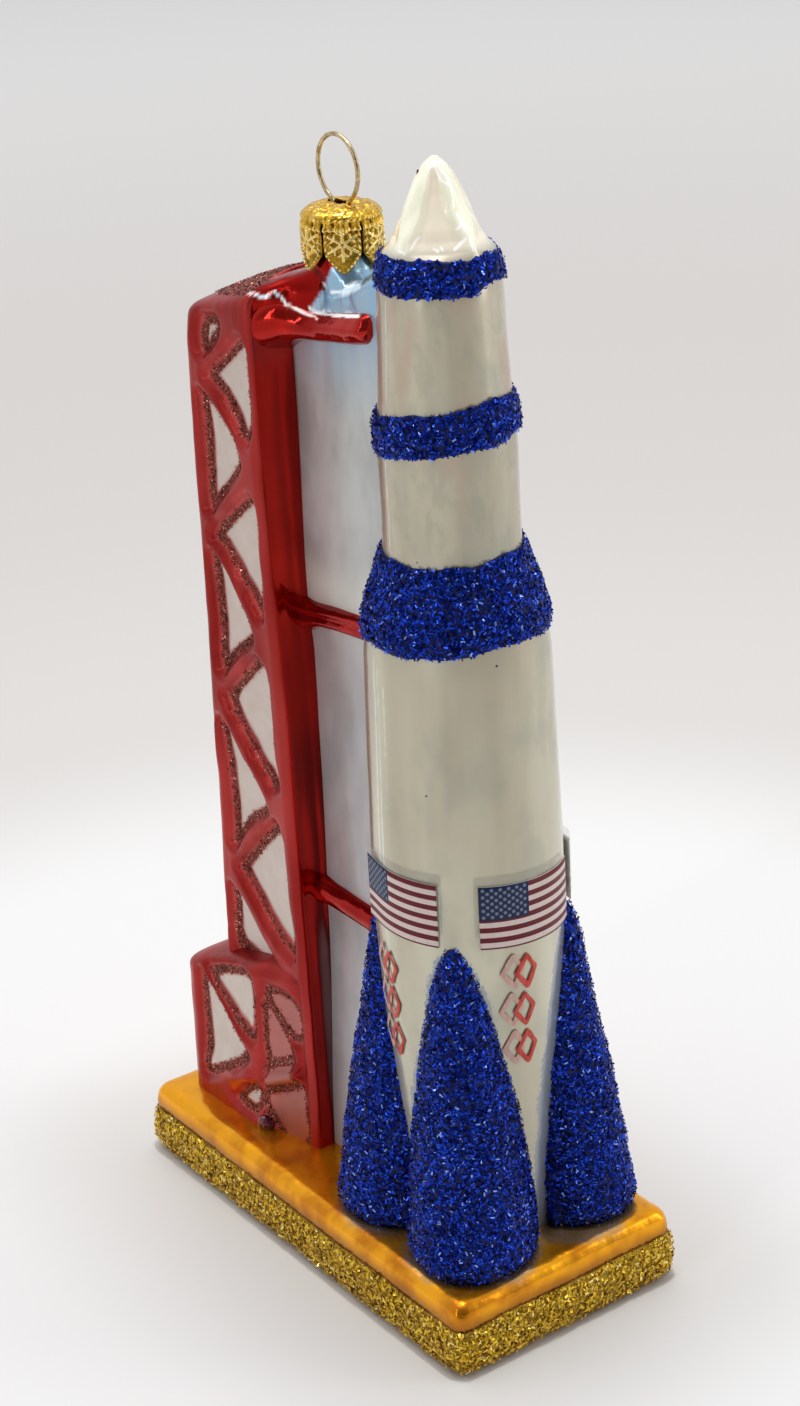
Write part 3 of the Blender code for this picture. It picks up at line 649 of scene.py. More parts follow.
def rocketGrid():
    # the profile's radius with facets, a slow sway and the hollows of the nose, and what is painted on it,
    # painted highlights among them
    z = np.concatenate([np.arange(12.7, 172, 0.8), np.arange(172, 185.8, 0.17), [185.85]])
    a, h = np.meshgrid(np.linspace(-180, 180, 280, endpoint=False), z)
    grid = onRocket(a, h)
    facet = rocket["facetDepth"] * np.cos(np.radians(a) * rocket["facets"] + 0.6)
    sway = 0.07 * softNoise(grid, (4, 4, 45), 31) + 0.05 * softNoise(grid, 9, 32)
    fromMiddle = np.abs((a + 38 + 45) % 90 - 45)
    hollow = ease(1.06, 0.45, fromMiddle / along(rocket["hollow"], h, 2))
    r = rocketRadius(h) + facet * ease(174, 170, h) + sway * ease(186, 176, h)
    r = r - along(rocket["hollow"], h) * hollow
    grid = around(a, r, h)
    bare = np.full(h.shape, -9)
    for _, foot, tip, wide, strip, top in fins["shapes"]:
        turn = (a - finAngle(foot, tip, h) + 180) % 360 - 180
        edge = np.where(turn < 0, strip * ease(top + 5, top - 5, h), 0.1)
        edge = edge - np.radians(np.abs(turn) - wide * along(fins["edge"], h)) * r
        bare = np.maximum(bare, np.where(h < 68, edge, -9))
    # painted highlights: pale lines down the body's left side and small bright marks on the nose
    wave = 0.07 * softNoise(grid, 0.5, 33)
    glint = np.zeros(h.shape)
    for a0, z0, a1, z1, half in rocket["paintedHighlights"]:
        wide = math.radians(a1 - a0) * rocketRadius(0.5 * (z0 + z1))
        gap, _ = stretchGap(np.radians(a - a0) * r, h - z0, wide, z1 - z0)
        glint = np.maximum(glint, ease(half + 0.12, half - 0.06, gap + wave))
    return grid, {"bareIn": bare, "hollowIn": hollow, "glintIn": glint}


grid, values = rocketGrid()
addClosed("rocketGlass", grid, pearlLacquer, "pearl_lacquer",
          ("rocket_low", "rocket_mid", "rocket_high", "nose_cone", "nose_tip"), values)
print("rocket made")

# glitter bands of the rocket: edges read from a table by angle, the rest is the body's own profile pushed out
blueFlakeSize = {"size": 0.62, "thin": 0.42, "perMm2": 9, "tilt": 45, "lift": 0.4}
bands = {
    "bandTop": {"out": 0.25, "node": "band_top", "open": 36, "edges": [
        # angle, low z, high z
        (-180, 167.9, 172.6), (-110, 167.7, 172.5), (-93, 167.5, 172.7), (-73, 167.6, 172.9),
        (-53, 167.7, 172.9), (-35, 167.7, 172.7), (-16, 167.7, 172.5), (-3, 167.9, 172.6), (4, 168.4, 172.8),
        (13, 168.9, 172.9), (22, 168.8, 173.1), (31, 168.4, 172.4), (60, 167.8, 172.3), (110, 167.8, 172.4),
        (180, 167.9, 172.6)]},
    "bandMid": {"out": 0.5, "node": "band_mid", "open": 32, "edges": [
        (-180, 143.9, 149.6), (-107, 143.5, 149.3), (-84, 144.2, 150.3), (-62, 144.5, 150.7),
        (-46, 144.8, 150.9), (-28, 145.2, 151.4), (-10, 145.5, 151.8), (8, 145.6, 152.3), (24, 146, 152.1),
        (37, 146.1, 151.8), (80, 145.4, 150.8), (130, 144.8, 150.2), (180, 143.9, 149.6)]},
    "bandLow": {"out": 0.75, "node": "band_low", "open": 28, "edges": [
        (-180, 115.4, 128.2), (-110, 115.1, 127.9), (-92, 115.1, 128.2), (-71, 115.1, 127.9),
        (-54, 115.3, 127.7), (-40, 115.4, 127.9), (-24, 115.9, 128.1), (-8, 116.2, 128.2), (11, 116, 128.7),
        (35, 115.4, 128.5), (90, 115.6, 128), (140, 115.2, 128.4), (180, 115.4, 128.2)]}}


def bandSheets(band, seed):
    # u goes round from one side of the wall to the other, v from the low edge over the crown to the high edge
    a, s = np.meshgrid(np.linspace(band["open"] - 180, 180 - band["open"], 190), np.linspace(0, 1, 18))
    ring = onRocket(a, 150)
    low = along(band["edges"], a) + softNoise(ring, 1.3, seed) * 0.22 + softNoise(ring, 4, seed + 1) * 0.3
    rise = softNoise(ring, 1.1, seed + 2) * 0.25 + softNoise(ring, 3.1, seed + 3) * 0.3
    z = low + (along(band["edges"], a, 2) + rise - low) * s
    out = band["out"] * np.sin(np.pi * np.clip(s, 0.03, 0.97)) ** 0.4
    grid = onRocket(a, z, out)
    lump = 0.14 * softNoise(grid, 1.1, seed + 4) + 0.1 * softNoise(grid, 3, seed + 5)
    return onRocket(a, z, out + lump), onRocket(a, z, -0.3)


def shellOf(sheet, under):
    # a sheet and the one under it as one grid that goes all the way round, column by column
    return np.concatenate([sheet, under[::-1]]).transpose(1, 0, 2)


def addBlue(name, node, bed, sheet, mask, seed):
    # a closed bed of blue glue for a CAD node, and flakes over the sheet where the mask is one
    addClosed(name + "Bed", bed, blueBed, "blue_glitter", (node,))
    addFlakes(name + "Flakes", sheet, mask, blueFlakeSize, blueFlake, seed, "blue_glitter")


for seed, (name, band) in enumerate(bands.items()):
    grid, under = bandSheets(band, 40 + 7 * seed)
    addBlue(name, band["node"], shellOf(grid, under), grid, np.ones(grid.shape[:2]), 60 + seed)
print("bands made")


def finGrid(foot, tip, wide, seed):
    # part of an ellipse round the leaning middle line at each height; the back fins are kept clear of the wall
    z = np.concatenate([[13.2, 13.4, 13.7, 14.3], np.arange(15, 67, 0.62), [67, 67.5, 67.9]])
    t, h = np.meshgrid(np.radians(np.linspace(-115, 115, 56)), z)
    behind = abs(foot) > 90
    outer, half = along(fins["rows"], h) - 0.9 * behind, along(fins["rows"], h, 2) * wide
    depth = np.minimum(half * 1.15, outer - 6)
    radial, across = outer - depth + depth * np.cos(t), half * np.sin(t)
    a = np.radians(finAngle(foot, tip, h))
    x = radial * np.sin(a) + across * np.cos(a)
    y = rocketY - radial * np.cos(a) + across * np.sin(a)
    grid = spots(x, y, h)
    lump = 0.16 * softNoise(grid, 1.1, seed) + 0.22 * softNoise(grid, 4, seed + 1)
    grid += spots(np.sin(a + t), -np.cos(a + t), 0) * lump[..., None]
    if behind:
        grid[..., 0] = math.copysign(1, foot) * np.maximum(np.abs(grid[..., 0]), along(wallHalf, h) + 0.3)
    return grid


for seed, (node, foot, tip, wide, _, _) in enumerate(fins["shapes"]):
    grid = finGrid(foot, tip, wide, 80 + seed)
    name = node.title().replace("_", "").replace("Fin", "fin")
    clear = np.hypot(grid[..., 0], grid[..., 1] - rocketY) - rocketRadius(grid[..., 2])
    addBlue(name, node, grid, grid, ease(-0.4, 0.1, clear), 90 + seed)
print("fins made")

# tower: column and foot, with the lattice cut into their sides; every cell is a closed line of glue in y and z
cells = {
    "painted": [
        # y, z, half width of the line, and how softly the white fades in beside it where it does
        [(22.4, 155.3, 0.54), (18.9, 155.8, 0.54), (19.4, 154.3, 0.54), (22, 151.8, 0.62),
         (23.7, 150.4, 0.46), (23.7, 152.3, 0.54), (23.1, 154.5, 0.54)],
        [(13, 153.7, 0.38), (12.1, 152.5, 0.23), (12.2, 149.6, 0.3), (12.1, 146.5, 0.38), (12, 143.3, 0.38),
         (12.4, 140, 0.46), (13.2, 138.2, 0.38, 0.3), (14.8, 139.1, 0.46, 0.6), (15.9, 141.1, 0.39, 0.7),
         (17.4, 142.9, 0.39, 0.6), (18.8, 144.5, 0.46, 0.3), (20.9, 145.8, 0.54), (22.3, 146.5, 0.47),
         (20.6, 148, 0.46), (17.8, 149.9, 0.38), (15.2, 152, 0.38)],
        [(25.4, 142.7, 0.47), (23.2, 141.9, 0.39), (21.4, 140.5, 0.39), (19.6, 138.8, 0.39),
         (17.6, 137, 0.47), (16.5, 135, 0.54), (16.1, 133.3, 0.54), (18.2, 131.1, 0.47), (20.8, 128.6, 0.47),
         (23.2, 126.3, 0.55, 0.2), (25, 124.4, 0.56, 0.2), (25.1, 127, 0.48, 0.5), (24.9, 130.4, 0.4, 0.6),
         (24.9, 134.6, 0.47, 0.6), (24.9, 138.7, 0.47, 0.5), (25.1, 141.1, 0.47, 0.2)],
        [(13.4, 128.2, 0.39), (12.7, 127, 0.23), (12.5, 124.5, 0.23), (12.7, 121.1, 0.23),
         (12.6, 117.8, 0.23), (12.4, 114.5, 0.24), (12.9, 110.9, 0.39, 0.3), (12.8, 109.2, 0.39, 0.6),
         (14.1, 110.9, 0.32, 1), (15.8, 112.6, 0.24, 1), (17.7, 113.8, 0.24, 1), (19.2, 115.6, 0.24, 1),
         (20.7, 117, 0.24, 1), (22.3, 118.5, 0.32, 0.8), (24.2, 119.3, 0.56, 0.3), (22.8, 121.1, 0.56, 0.1),
         (19.5, 123.6, 0.47), (16.6, 125.9, 0.47)],
        [(25.9, 115.6, 0.4), (23.8, 114.3, 0.32), (21.9, 112.6, 0.32), (20.2, 110.5, 0.32),
         (18.7, 108.5, 0.32), (17.3, 106.4, 0.48), (16.4, 104.4, 0.56), (18, 102.9, 0.64),
         (20.9, 100.9, 0.64), (23.7, 98.5, 0.65), (25.5, 96.4, 0.65, 0.2), (25.8, 98.4, 0.57, 0.4),
         (25.7, 101.1, 0.41, 0.7), (25.5, 104.6, 0.4, 0.7), (25.6, 108.1, 0.4, 0.7),
         (25.7, 111.5, 0.56, 0.5), (25.9, 113.7, 0.56, 0.2)],
        [(14.9, 100.2, 0.56), (13.3, 99.5, 0.32), (12.7, 97.2, 0.24), (12.7, 94.6, 0.24), (12.6, 91.1, 0.2),
         (12.8, 87.6, 0.2), (12.6, 84.6, 0.24), (12, 82.1, 0.32, 0.3), (11.7, 79.9, 0.32, 0.6),
         (13.3, 79.2, 0.65, 1), (14.6, 80.5, 0.49, 1), (16.2, 81.4, 0.24, 1), (17.8, 82.8, 0.16, 1.1),
         (19, 84.5, 0.16, 1.1), (20.9, 86.1, 0.16, 1.1), (22.2, 87.6, 0.16, 1), (23.5, 89.4, 0.41, 0.8),
         (24.4, 91.4, 0.65, 0.4), (21.9, 93.9, 0.49), (19.2, 96.4, 0.48), (16.8, 98.7, 0.48)],
        [(27.6, 86, 0.25), (25.6, 84.7, 0.13), (23.8, 82.6, 0.13), (22.3, 80.7, 0.16), (20.4, 79.2, 0.16),
         (18.5, 77.3, 0.16), (16.7, 75.4, 0.2), (16, 74, 0.49), (17.7, 72.5, 0.66), (20.6, 70.9, 0.58),
         (23, 68.7, 0.42), (24.8, 66.6, 0.5), (26.3, 64.5, 0.59, 0.2), (26.3, 67.2, 0.33, 0.5),
         (26.3, 71.1, 0.33, 0.8), (26.4, 74.7, 0.25, 0.8), (26.5, 78.4, 0.25, 0.8), (26.9, 81.9, 0.25, 0.5),
         (27.2, 84.3, 0.25, 0.2)],
        [(13.1, 71.5, 0.73), (11.9, 69.5, 0.2), (11.9, 67.2, 0.2), (11.7, 63.5, 0.21), (11.8, 60.4, 0.16),
         (11.6, 57.5, 0.21), (11.1, 54.5, 0.21, 0.2), (10.8, 51.8, 0.33, 0.6), (11.2, 48.8, 0.33, 0.8),
         (12.3, 49.3, 0.33, 1.2), (14.3, 50.2, 0.25, 1.3), (16.2, 51.5, 0.21, 1.3), (17.8, 52.9, 0.17, 1.3),
         (19.7, 54.8, 0.21, 1.3), (21.6, 56.5, 0.17, 1.2), (23.2, 58.2, 0.25, 1), (24.8, 60, 0.59, 0.5),
         (22, 62.8, 0.5), (19.2, 65.7, 0.41), (16.8, 68.1, 0.49), (14.7, 70.3, 0.57)],
        [(28.3, 54.7, 0.34), (25.7, 53.4, 0.17), (24.1, 52, 0.17), (22.4, 50.3, 0.21), (20.6, 48.2, 0.25),
         (18.7, 46.5, 0.25), (16.5, 44.5, 0.34), (15.2, 43.2, 0.34), (17.7, 42.5, 0.76),
         (20.7, 42.6, 1.19, 0.3), (24.3, 43, 1.36, 0.5), (27.7, 43.4, 1.2, 0.5), (28.9, 46.4, 0.51, 0.6),
         (28.2, 50.9, 0.51, 0.3)]],
    "footPainted": [
        [(32.2, 38.3, 0.78), (28.2, 40, 0.68), (22.9, 41.8, 0.68), (20.5, 41.3, 0.51), (20.2, 38.7, 0.42),
         (20.1, 35.4, 0.34, 0.3), (20.2, 32.3, 0.34, 0.7), (20.8, 29.8, 0.43, 1.2), (23, 30.1, 0.51, 1.6),
         (25.6, 31.3, 0.26, 1.7), (27.9, 33, 0.26, 1.6), (30.2, 34.8, 0.26, 1.2), (31.9, 36.3, 0.35, 0.8)],
        [(35.7, 36.4, 0.35), (34.6, 35.3, 0.26), (32.6, 33.8, 0.26), (30.6, 31.9, 0.26), (28.4, 29.7, 0.35),
         (26.4, 27.7, 0.43), (24.4, 26.4, 0.6), (23.6, 25.2, 0.77), (25.8, 23, 0.69), (29.7, 20.5, 0.61),
         (33.9, 17.9, 0.7, 0.2), (36.4, 16.6, 0.71, 0.3), (36.1, 20.8, 0.62, 0.4), (35.8, 25, 0.53, 0.5),
         (35.8, 29.4, 0.44, 0.4), (35.8, 33.4, 0.35, 0.2)],
        [(20.8, 20.5, 0.34), (20, 19.3, 0.43), (20.4, 16.7, 0.52), (22.5, 14.9, 0.61, 0.2),
         (25, 14.9, 0.61, 0.4), (27.2, 15.3, 0.52, 0.3), (24.3, 17.9, 0.43)]],
    "footPlain": [
        [(17.1, 40.3, 0.67), (14, 40.9, 0.42), (11.3, 41.1, 0.42), (9.3, 40.4, 0.42), (8.3, 39, 0.42),
         (7.9, 36.6, 0.42), (8.5, 34, 0.5), (10.4, 33.6, 0.5), (12.4, 34.5, 0.5), (14.3, 35.7, 0.42),
         (16.3, 37.2, 0.51), (17.6, 38.4, 0.68)],
        [(19, 37.2, 0.34), (17, 36.3, 0.34), (14.8, 34.8, 0.34), (12.9, 33.1, 0.34), (11.6, 31.1, 0.34),
         (11.2, 29.4, 0.42), (14.5, 27.5, 0.51), (18.4, 25.5, 0.51), (19.3, 27.7, 0.43), (19.1, 31.7, 0.43),
         (19, 34.9, 0.42)],
        [(19.4, 24.4, 0.34), (14.9, 26.7, 0.25), (11.4, 28.1, 0.25), (10.3, 26.6, 0.42), (9.3, 25.1, 0.51),
         (13.8, 22.6, 0.51), (20.4, 19.8, 0.43), (20, 22.2, 0.26)],
        [(20.8, 18.6, 0.43), (15.2, 21.6, 0.51), (9.1, 24.7, 0.42), (8.3, 23.2, 0.34), (8.4, 20.5, 0.34),
         (8.1, 17.4, 0.34), (8.2, 14.6, 0.42), (10.9, 11.9, 0.51), (14.3, 11.4, 0.77), (17.2, 12.7, 0.95),
         (19.5, 14.6, 0.86), (20.8, 16.6, 0.69)]]}
lattice = {"depth": 1.7, "rise": 1.9, "fall": -0.7}


def cellField(y, z, lines):
    # signed distance to the nearest closed line (inside is negative), with that line's own half width and fade
    best, half, fade = np.full(y.shape, 99), np.full(y.shape, 0.4), np.zeros(y.shape)
    for line in lines:
        rows = np.array([(*row, 0)[:4] for row in line])
        near, inside = np.full(y.shape, 99), np.zeros(y.shape, bool)
        for p, q in zip(rows, np.roll(rows, -1, axis=0)):
            dy, dz = q[:2] - p[:2]
            gap, share = stretchGap(y - p[0], z - p[1], dy, dz)
            closer = gap < np.minimum(near, np.abs(best))
            half = np.where(closer, p[2] + (q[2] - p[2]) * share, half)
            fade = np.where(closer, p[3] + (q[3] - p[3]) * share, fade)
            near = np.minimum(near, gap)
            inside ^= ((p[1] > z) != (q[1] > z)) & (y < p[0] + (z - p[1]) * dy / (dz or 1e-9))
        best = np.where(near < np.abs(best), np.where(inside, -near, near), best)
    return best, half, fade


def latticeField(y, z, lines):
    # cut depth, share of white and how far inside a glue line, for points of a side face
    gap, half, fade = cellField(y, z, lines)
    white = ease(half - 0.1 + 0.5 * fade, half + 0.25 + 1.3 * fade, -gap)
    cut = lattice["depth"] * ease(lattice["rise"], lattice["fall"], gap - half)
    return cut, white, half - np.abs(gap)


tower = {
    "halfX": 12.3, "corner": 2.3, "hollow": 0.7, "low": 12.6, "steps": 352,
    "rows": [
        # z, front y, back y
        (12.6, 6.2, 32.2), (43, 6.6, 32.2), (60, 7, 31.2), (80, 7.1, 30.6), (95, 7.4, 30.1),
        (117, 8.6, 29.5), (140, 9.1, 28.9), (151, 9.2, 28.3), (158, 9.2, 27.4)],
    "crown": [(9, 3.5), (14, 3.2), (20, 2.4), (24, 1.5), (28, 0.8)],  # y, how far the roof's middle stands up
    "topEdge": [(9, 161.2), (24, 157.8), (28.5, 156.6)]}  # y, z
foot = {
    "low": 12.6, "steps": 84, "plan": [
        # x, y of the outline on the +X side, from the front middle to the back middle
        (0, 8), (6, 8), (11.2, 8), (12.4, 8.5), (13, 9.8), (13.5, 11.6), (14.2, 14.6), (14.8, 17),
        (15.3, 18.6), (15.8, 19.8), (16, 21.5), (16.2, 27), (16.3, 33), (16.3, 37.4), (15.9, 39.2),
        (14.8, 40.2), (13, 40.4), (7, 40.4), (0, 40.4)],
    "topEdge": [(8, 46), (18.6, 44.3), (24, 42.8), (39.4, 38.4), (40.5, 38)]}
edgeFlake = {"size": 0.3, "thin": 0.7, "perMm2": 14, "tilt": 40, "lift": 0.22}
paintedHighlights = [
    # y, z of a painted highlight's two ends, its half width
    (14.5, 159.8, 10.9, 160, 0.16), (10.9, 160, 7.5, 161.7, 0.14), (7.5, 161.7, 5.7, 161.5, 0.2),
    (5.7, 161.5, 4.5, 160.5, 0.2), (4.5, 160.5, 0.9, 160.7, 0.14), (0.9, 160.7, -2.5, 160.9, 0.12),
    (-2.5, 160.9, -3.4, 160.5, 0.12), (-5.2, 166.9, -6.2, 166.4, 0.12), (-1.4, 161.7, -7.1, 162.3, 0.2),
    (-7.1, 162.3, -14.1, 163.4, 0.3), (-11.8, 167.4, -14.3, 168.8, 0.7), (-7.5, 165.9, -12, 167.2, 0.14)]


def paintedHighlightShare(grid):
    # one inside the painted highlights and zero outside; they are given on the upright plane 8 mm from the middle
    y, z = alongSight(grid, 8)
    wave = 0.12 * softNoise(grid, 0.6, 33)
    share = np.zeros(y.shape)
    for y0, z0, y1, z1, half in paintedHighlights:
        gap, _ = stretchGap(y - y0, z - z0, y1 - y0, z1 - z0)
        share = np.maximum(share, ease(half + 0.2, half - 0.1, gap + wave))
    return share


def softEdge(grid, edge, times, far, near):
    # the rows on both sides of an edge evened out, less and less from the near distance to the far one
    row = np.arange(len(grid))[:, None, None]
    return grid + (evened(grid, times) - grid) * ease(far, near, np.abs(row - edge))


def addLattice(name, grid, values, replaces, seed):
    # red glass with glued lines, and fine flakes on the lines
    addClosed(name + "Glass", grid, redLacquer, "red_lacquer", replaces, values)
    mask = ease(-0.25, 0.15, values["glueIn"] + 0.25 * softNoise(grid, 1, seed))
    grid, mask = closeRound(grid), closeRound(mask)
    addFlakes(name + "Glitter", grid, mask, edgeFlake, redFlake, seed + 1, "red_glitter")
    print(name, "made")


def towerGrid():
    # u runs round the plan, v up the wall to the sloping top edge, then over the roof to its middle line
    corner = tower["corner"]
    t = np.linspace(0, np.pi / 2, 8, endpoint=False)
    front, side = np.linspace(0, 1, 15, endpoint=False), np.linspace(0, 1, 54, endpoint=False)
    across, turn, deep = np.concatenate([
        spots(front, 0, 0), spots(1, t, 0), spots(1, np.pi / 2, side), spots(1, np.pi / 2 + t, 1),
        spots(np.linspace(1, 0, 12), np.pi, 1)]).T
    x = across * (tower["halfX"] - corner) + corner * np.sin(turn)
    rows = []
    for share in np.linspace(0, 1, tower["steps"]):
        z = tower["low"] + share * 146
        for _ in range(2):
            y0, y1 = along(tower["rows"], z), along(tower["rows"], z, 2)
            y = y0 + corner - corner * np.cos(turn) + deep * (y1 - y0 - 2 * corner)
            z = tower["low"] + share * (along(tower["topEdge"], y) - tower["low"])
        rows.append(sideways(spots(x, y, z)))
    edgeX, edgeY, _ = rows[-1].T
    for share in np.linspace(0, 1, 26)[1:]:
        x = edgeX * (1 - share)
        y = edgeY + (np.clip(edgeY, 12.5, 24) - edgeY) * ease(0, 1, share)
        z = along(tower["topEdge"], y) + along(tower["crown"], y) * (1 - (np.abs(x) / tower["halfX"]) ** 2.2)
        rows.append(spots(x, y, z - 1.3 * ease(2.2, 0, along(tower["rows"], 158, 2) - y)))
    return softEdge(np.stack(rows), tower["steps"] - 1, 14, 12, 4)


def dressTower(grid):
    # the lattice sunk into both sides, hollow front and back, soft swells, and what is painted where, painted
    # reflection and painted shade on the front among them
    x, y, z = axes(grid)
    y0, y1 = along(tower["rows"], z), along(tower["rows"], z, 2)
    cut, white, glue = latticeField(y, z, cells["painted"])
    inward = tower["halfX"] - np.abs(x)
    roof = z - along(tower["topEdge"], y)
    sideShare = ease(2, 0.6, inward) * ease(0.6, -0.6, roof)
    behind = ease(1.2, 0.2, inward) * ease(8.8, 9.8, y)
    behind = behind * ease(1, 2.4, along(foot["topEdge"], y) - z)
    face = ease(12.1, 9.9, np.abs(x)) * ease(1, -2, roof)
    frontShare, backShare = ease(1.2, 0, y - y0) * face, ease(1.2, 0, y1 - y) * face
    swell = 0.14 * softNoise(grid, (12, 6, 7), 102) + 0.1 * softNoise(grid, (9, 3, 4), 103)
    out = grid.copy()
    out[..., 0] += np.sign(x) * ((swell - cut * (1 - behind)) * sideShare - 3 * behind)
    out[..., 1] += tower["hollow"] * (frontShare - backShare)
    out[..., 1] += 0.22 * softNoise(grid, (3.2, 30, 26), 101) * (frontShare + backShare)
    out[..., 1] += 0.25 * softNoise(grid, (20, 20, 9), 104) * ease(y0 + 12, y1, y)
    place = spots(0, 0, z)
    across = np.abs(x) + 0.45 * softNoise(place, 13, 108) + 0.2 * softNoise(place, 4, 109)
    # painted reflection: two bright upright bands down the front face, wavering with height
    bright = 0.75 * bell(across, 9.4, 1.1) + 0.9 * bell(across, 6.6, 0.42)
    bright = bright * (0.75 + 0.5 * softNoise(place, 17, 110))
    ragged = z + 1.1 * softNoise(grid, (2.2, 5, 9), 115)
    # painted shade: the front face darker away from those bands, less so above 96 mm and not at all near the top
    deep = np.clip(1 - bright, 0, 1) * ease(152.5, 149, ragged) * (1 - 0.35 * ease(78, 96, ragged))
    besideWall = ease(9.6, 8.8, across) * ease(60, 48, ragged) * ease(8, 5, y - y0)
    glue = np.where((sideShare > 0.5) & (behind <= 0.1), glue, -3)
    roofGlue = np.where(roof > 0.9, y - 10.3 + 0.5 * softNoise(grid, 2, 105), -3)
    return out, {"whiteShare": white * sideShare, "glueIn": np.maximum(glue, roofGlue), "sleekShare": frontShare,
                 "deepShare": frontShare * (deep + besideWall), "glintIn": paintedHighlightShare(grid)}


addLattice("tower", *dressTower(towerGrid()), (
    "tower_column", "tower_lattice_left", "tower_lattice_right", "tower_ground_left", "tower_ground_right",
    "tower_head", "tower_roof"), 106)


def footGrid():
    # the evened outline carried up to the sloping top edge, then over the roof to its middle line
    plan = np.array(foot["plan"])
    length = lengthTo(plan)[-1]
    stops = [(0, 11.5, 12), (11.5, length - 14, 96)]
    places = [np.linspace(*stop, endpoint=False) for stop in stops] + [np.linspace(length - 14, length, 14)]
    x, y = sideways(evened(readLine(plan, np.concatenate(places)), 6)).T
    top = along(foot["topEdge"], y)
    rows = [spots(x * (1 - 0.035 * share), y, foot["low"] + share * (top - foot["low"]))
            for share in np.linspace(0, 1, foot["steps"])]
    edge = rows[-1]
    inner = spots(0, np.clip(y, 14, 34), top)
    for share in np.linspace(0, 1, 18)[1:]:
        rows.append(edge + (inner - edge) * share + [0, 0, 2.6 * math.sin(math.pi / 2 * share)])
    return softEdge(np.stack(rows), foot["steps"] - 1, 16, 10, 3)


def dressFoot(grid):
    # two lattices read along the measuring line and sunk into both sides, with soft swells and two bars
    x, y, z = axes(grid)
    cut, white, glue = latticeField(*alongSight(grid, 15.4), cells["footPainted"])
    plainCut, pale, plainGlue = latticeField(*alongSight(grid, 13.7), cells["footPlain"])
    share = ease(10.8, 11.9, np.abs(x)) * ease(0.9, -0.6, z - along(foot["topEdge"], y))
    swell = 0.16 * softNoise(grid, (12, 5, 5), 111) + 0.1 * softNoise(grid, (9, 2.5, 3), 112)
    swell = swell + 0.7 * bell(z + 0.22 * (y - 20), 22.4, 1.9) * ease(19.5, 22, y) * ease(38.5, 35, y)
    swell = swell + 1.7 * bell(z + 0.5 * (y - 13.5), 24.9, 1.5) * ease(8.5, 10.5, y) * ease(18.5, 17, y)
    out = grid.copy()
    out[..., 0] += np.sign(x) * (swell - 0.8 * np.maximum(cut, 0.75 * plainCut)) * share
    return out, {"whiteShare": np.maximum(white, 0.22 * pale) * share,
                 "glueIn": np.where(share > 0.5, np.maximum(glue, plainGlue), -3)}


addLattice("foot", *dressFoot(footGrid()), (
    "tower_foot", "foot_ground_left", "foot_ground_right", "foot_lattice_left", "foot_lattice_right"), 113)

# arms and shoulder: an upright oval carried along y, its size read from a table
arms = {
    "armHigh": {"node": "arm_high", "rows": [
        # y, half width, bottom z, top z
        (14, 10.6, 150, 160.2), (11.5, 11.3, 150.6, 161.2), (10, 11.4, 151.6, 161.9),
        (8.5, 11, 152.6, 162.3), (7, 10, 153.4, 162.3), (5.5, 8.9, 153.8, 161.9), (4.2, 8, 154, 161.2),
        (3, 7.3, 154.1, 160.4), (1.6, 6.8, 154.2, 159.9), (0, 6.5, 154.4, 159.9), (-4, 6.3, 154.9, 160.6),
        (-8, 6.3, 155.6, 161.3), (-10.6, 6.3, 156.3, 161.8), (-11.4, 6, 156.7, 161.7),
        (-11.9, 4.8, 157.6, 161)]},
    "armMid": {"node": "arm_mid", "rows": [
        (12, 7, 104.5, 113), (9.6, 7.4, 104.8, 112.4), (8, 7.6, 105.6, 111.9), (6.6, 7.5, 106.6, 111.8),
        (4, 7.2, 107.4, 112), (0, 7, 107.9, 112.4), (-4, 7, 108.3, 112.8), (-10.5, 6.9, 108.6, 113.2)]},
    "armLow": {"node": "arm_low", "rows": [
        (11.5, 8, 55.6, 64.6), (8.8, 8.6, 56.6, 64), (7, 8.6, 57.8, 63.4), (4.9, 8.3, 58, 63),
        (0, 8.1, 57.7, 62.8), (-5, 8, 57.4, 62.7), (-10, 8, 57.2, 62.6)]},
    "shoulder": {"rows": [
        (16, 9.6, 156, 161.8), (12, 11.2, 156, 163.4), (9.8, 10.9, 156, 164), (8, 9.8, 156, 164.5),
        (6.4, 8.4, 156, 165), (5, 7.2, 156, 165.7), (3.6, 6.2, 156, 166.4), (2, 5.4, 156, 166.8),
        (0.4, 4.8, 156, 166.8)]}}


def ovalAlong(rows):
    # cross-section with round corners: cosine and sine raised to a power below one keep it boxy
    table = np.array(rows, float)[::-1]
    y = np.linspace(table[0, 0], table[-1, 0], 110)
    half, low, high = evened(spots(*(np.interp(y, table[:, 0], part) for part in table.T[1:])), 12).T[..., None]
    t = circle(60)
    across, rise = (np.sign(part) * np.abs(part) ** 0.78 for part in (np.cos(t), np.sin(t)))
    return spots(half * across, y[:, None], 0.5 * (low + high) + 0.5 * (high - low) * rise)


def silverValues(grid):
    # how far a point lies on the red side of the slanting edge of the lacquer, in mm, and the painted highlights
    _, y, z = axes(grid)
    return {"redIn": np.where(z > 157, (y - 1) * 0.84 + (z - 161.3) * 0.544, -9), "glintIn": paintedHighlightShare(grid)}


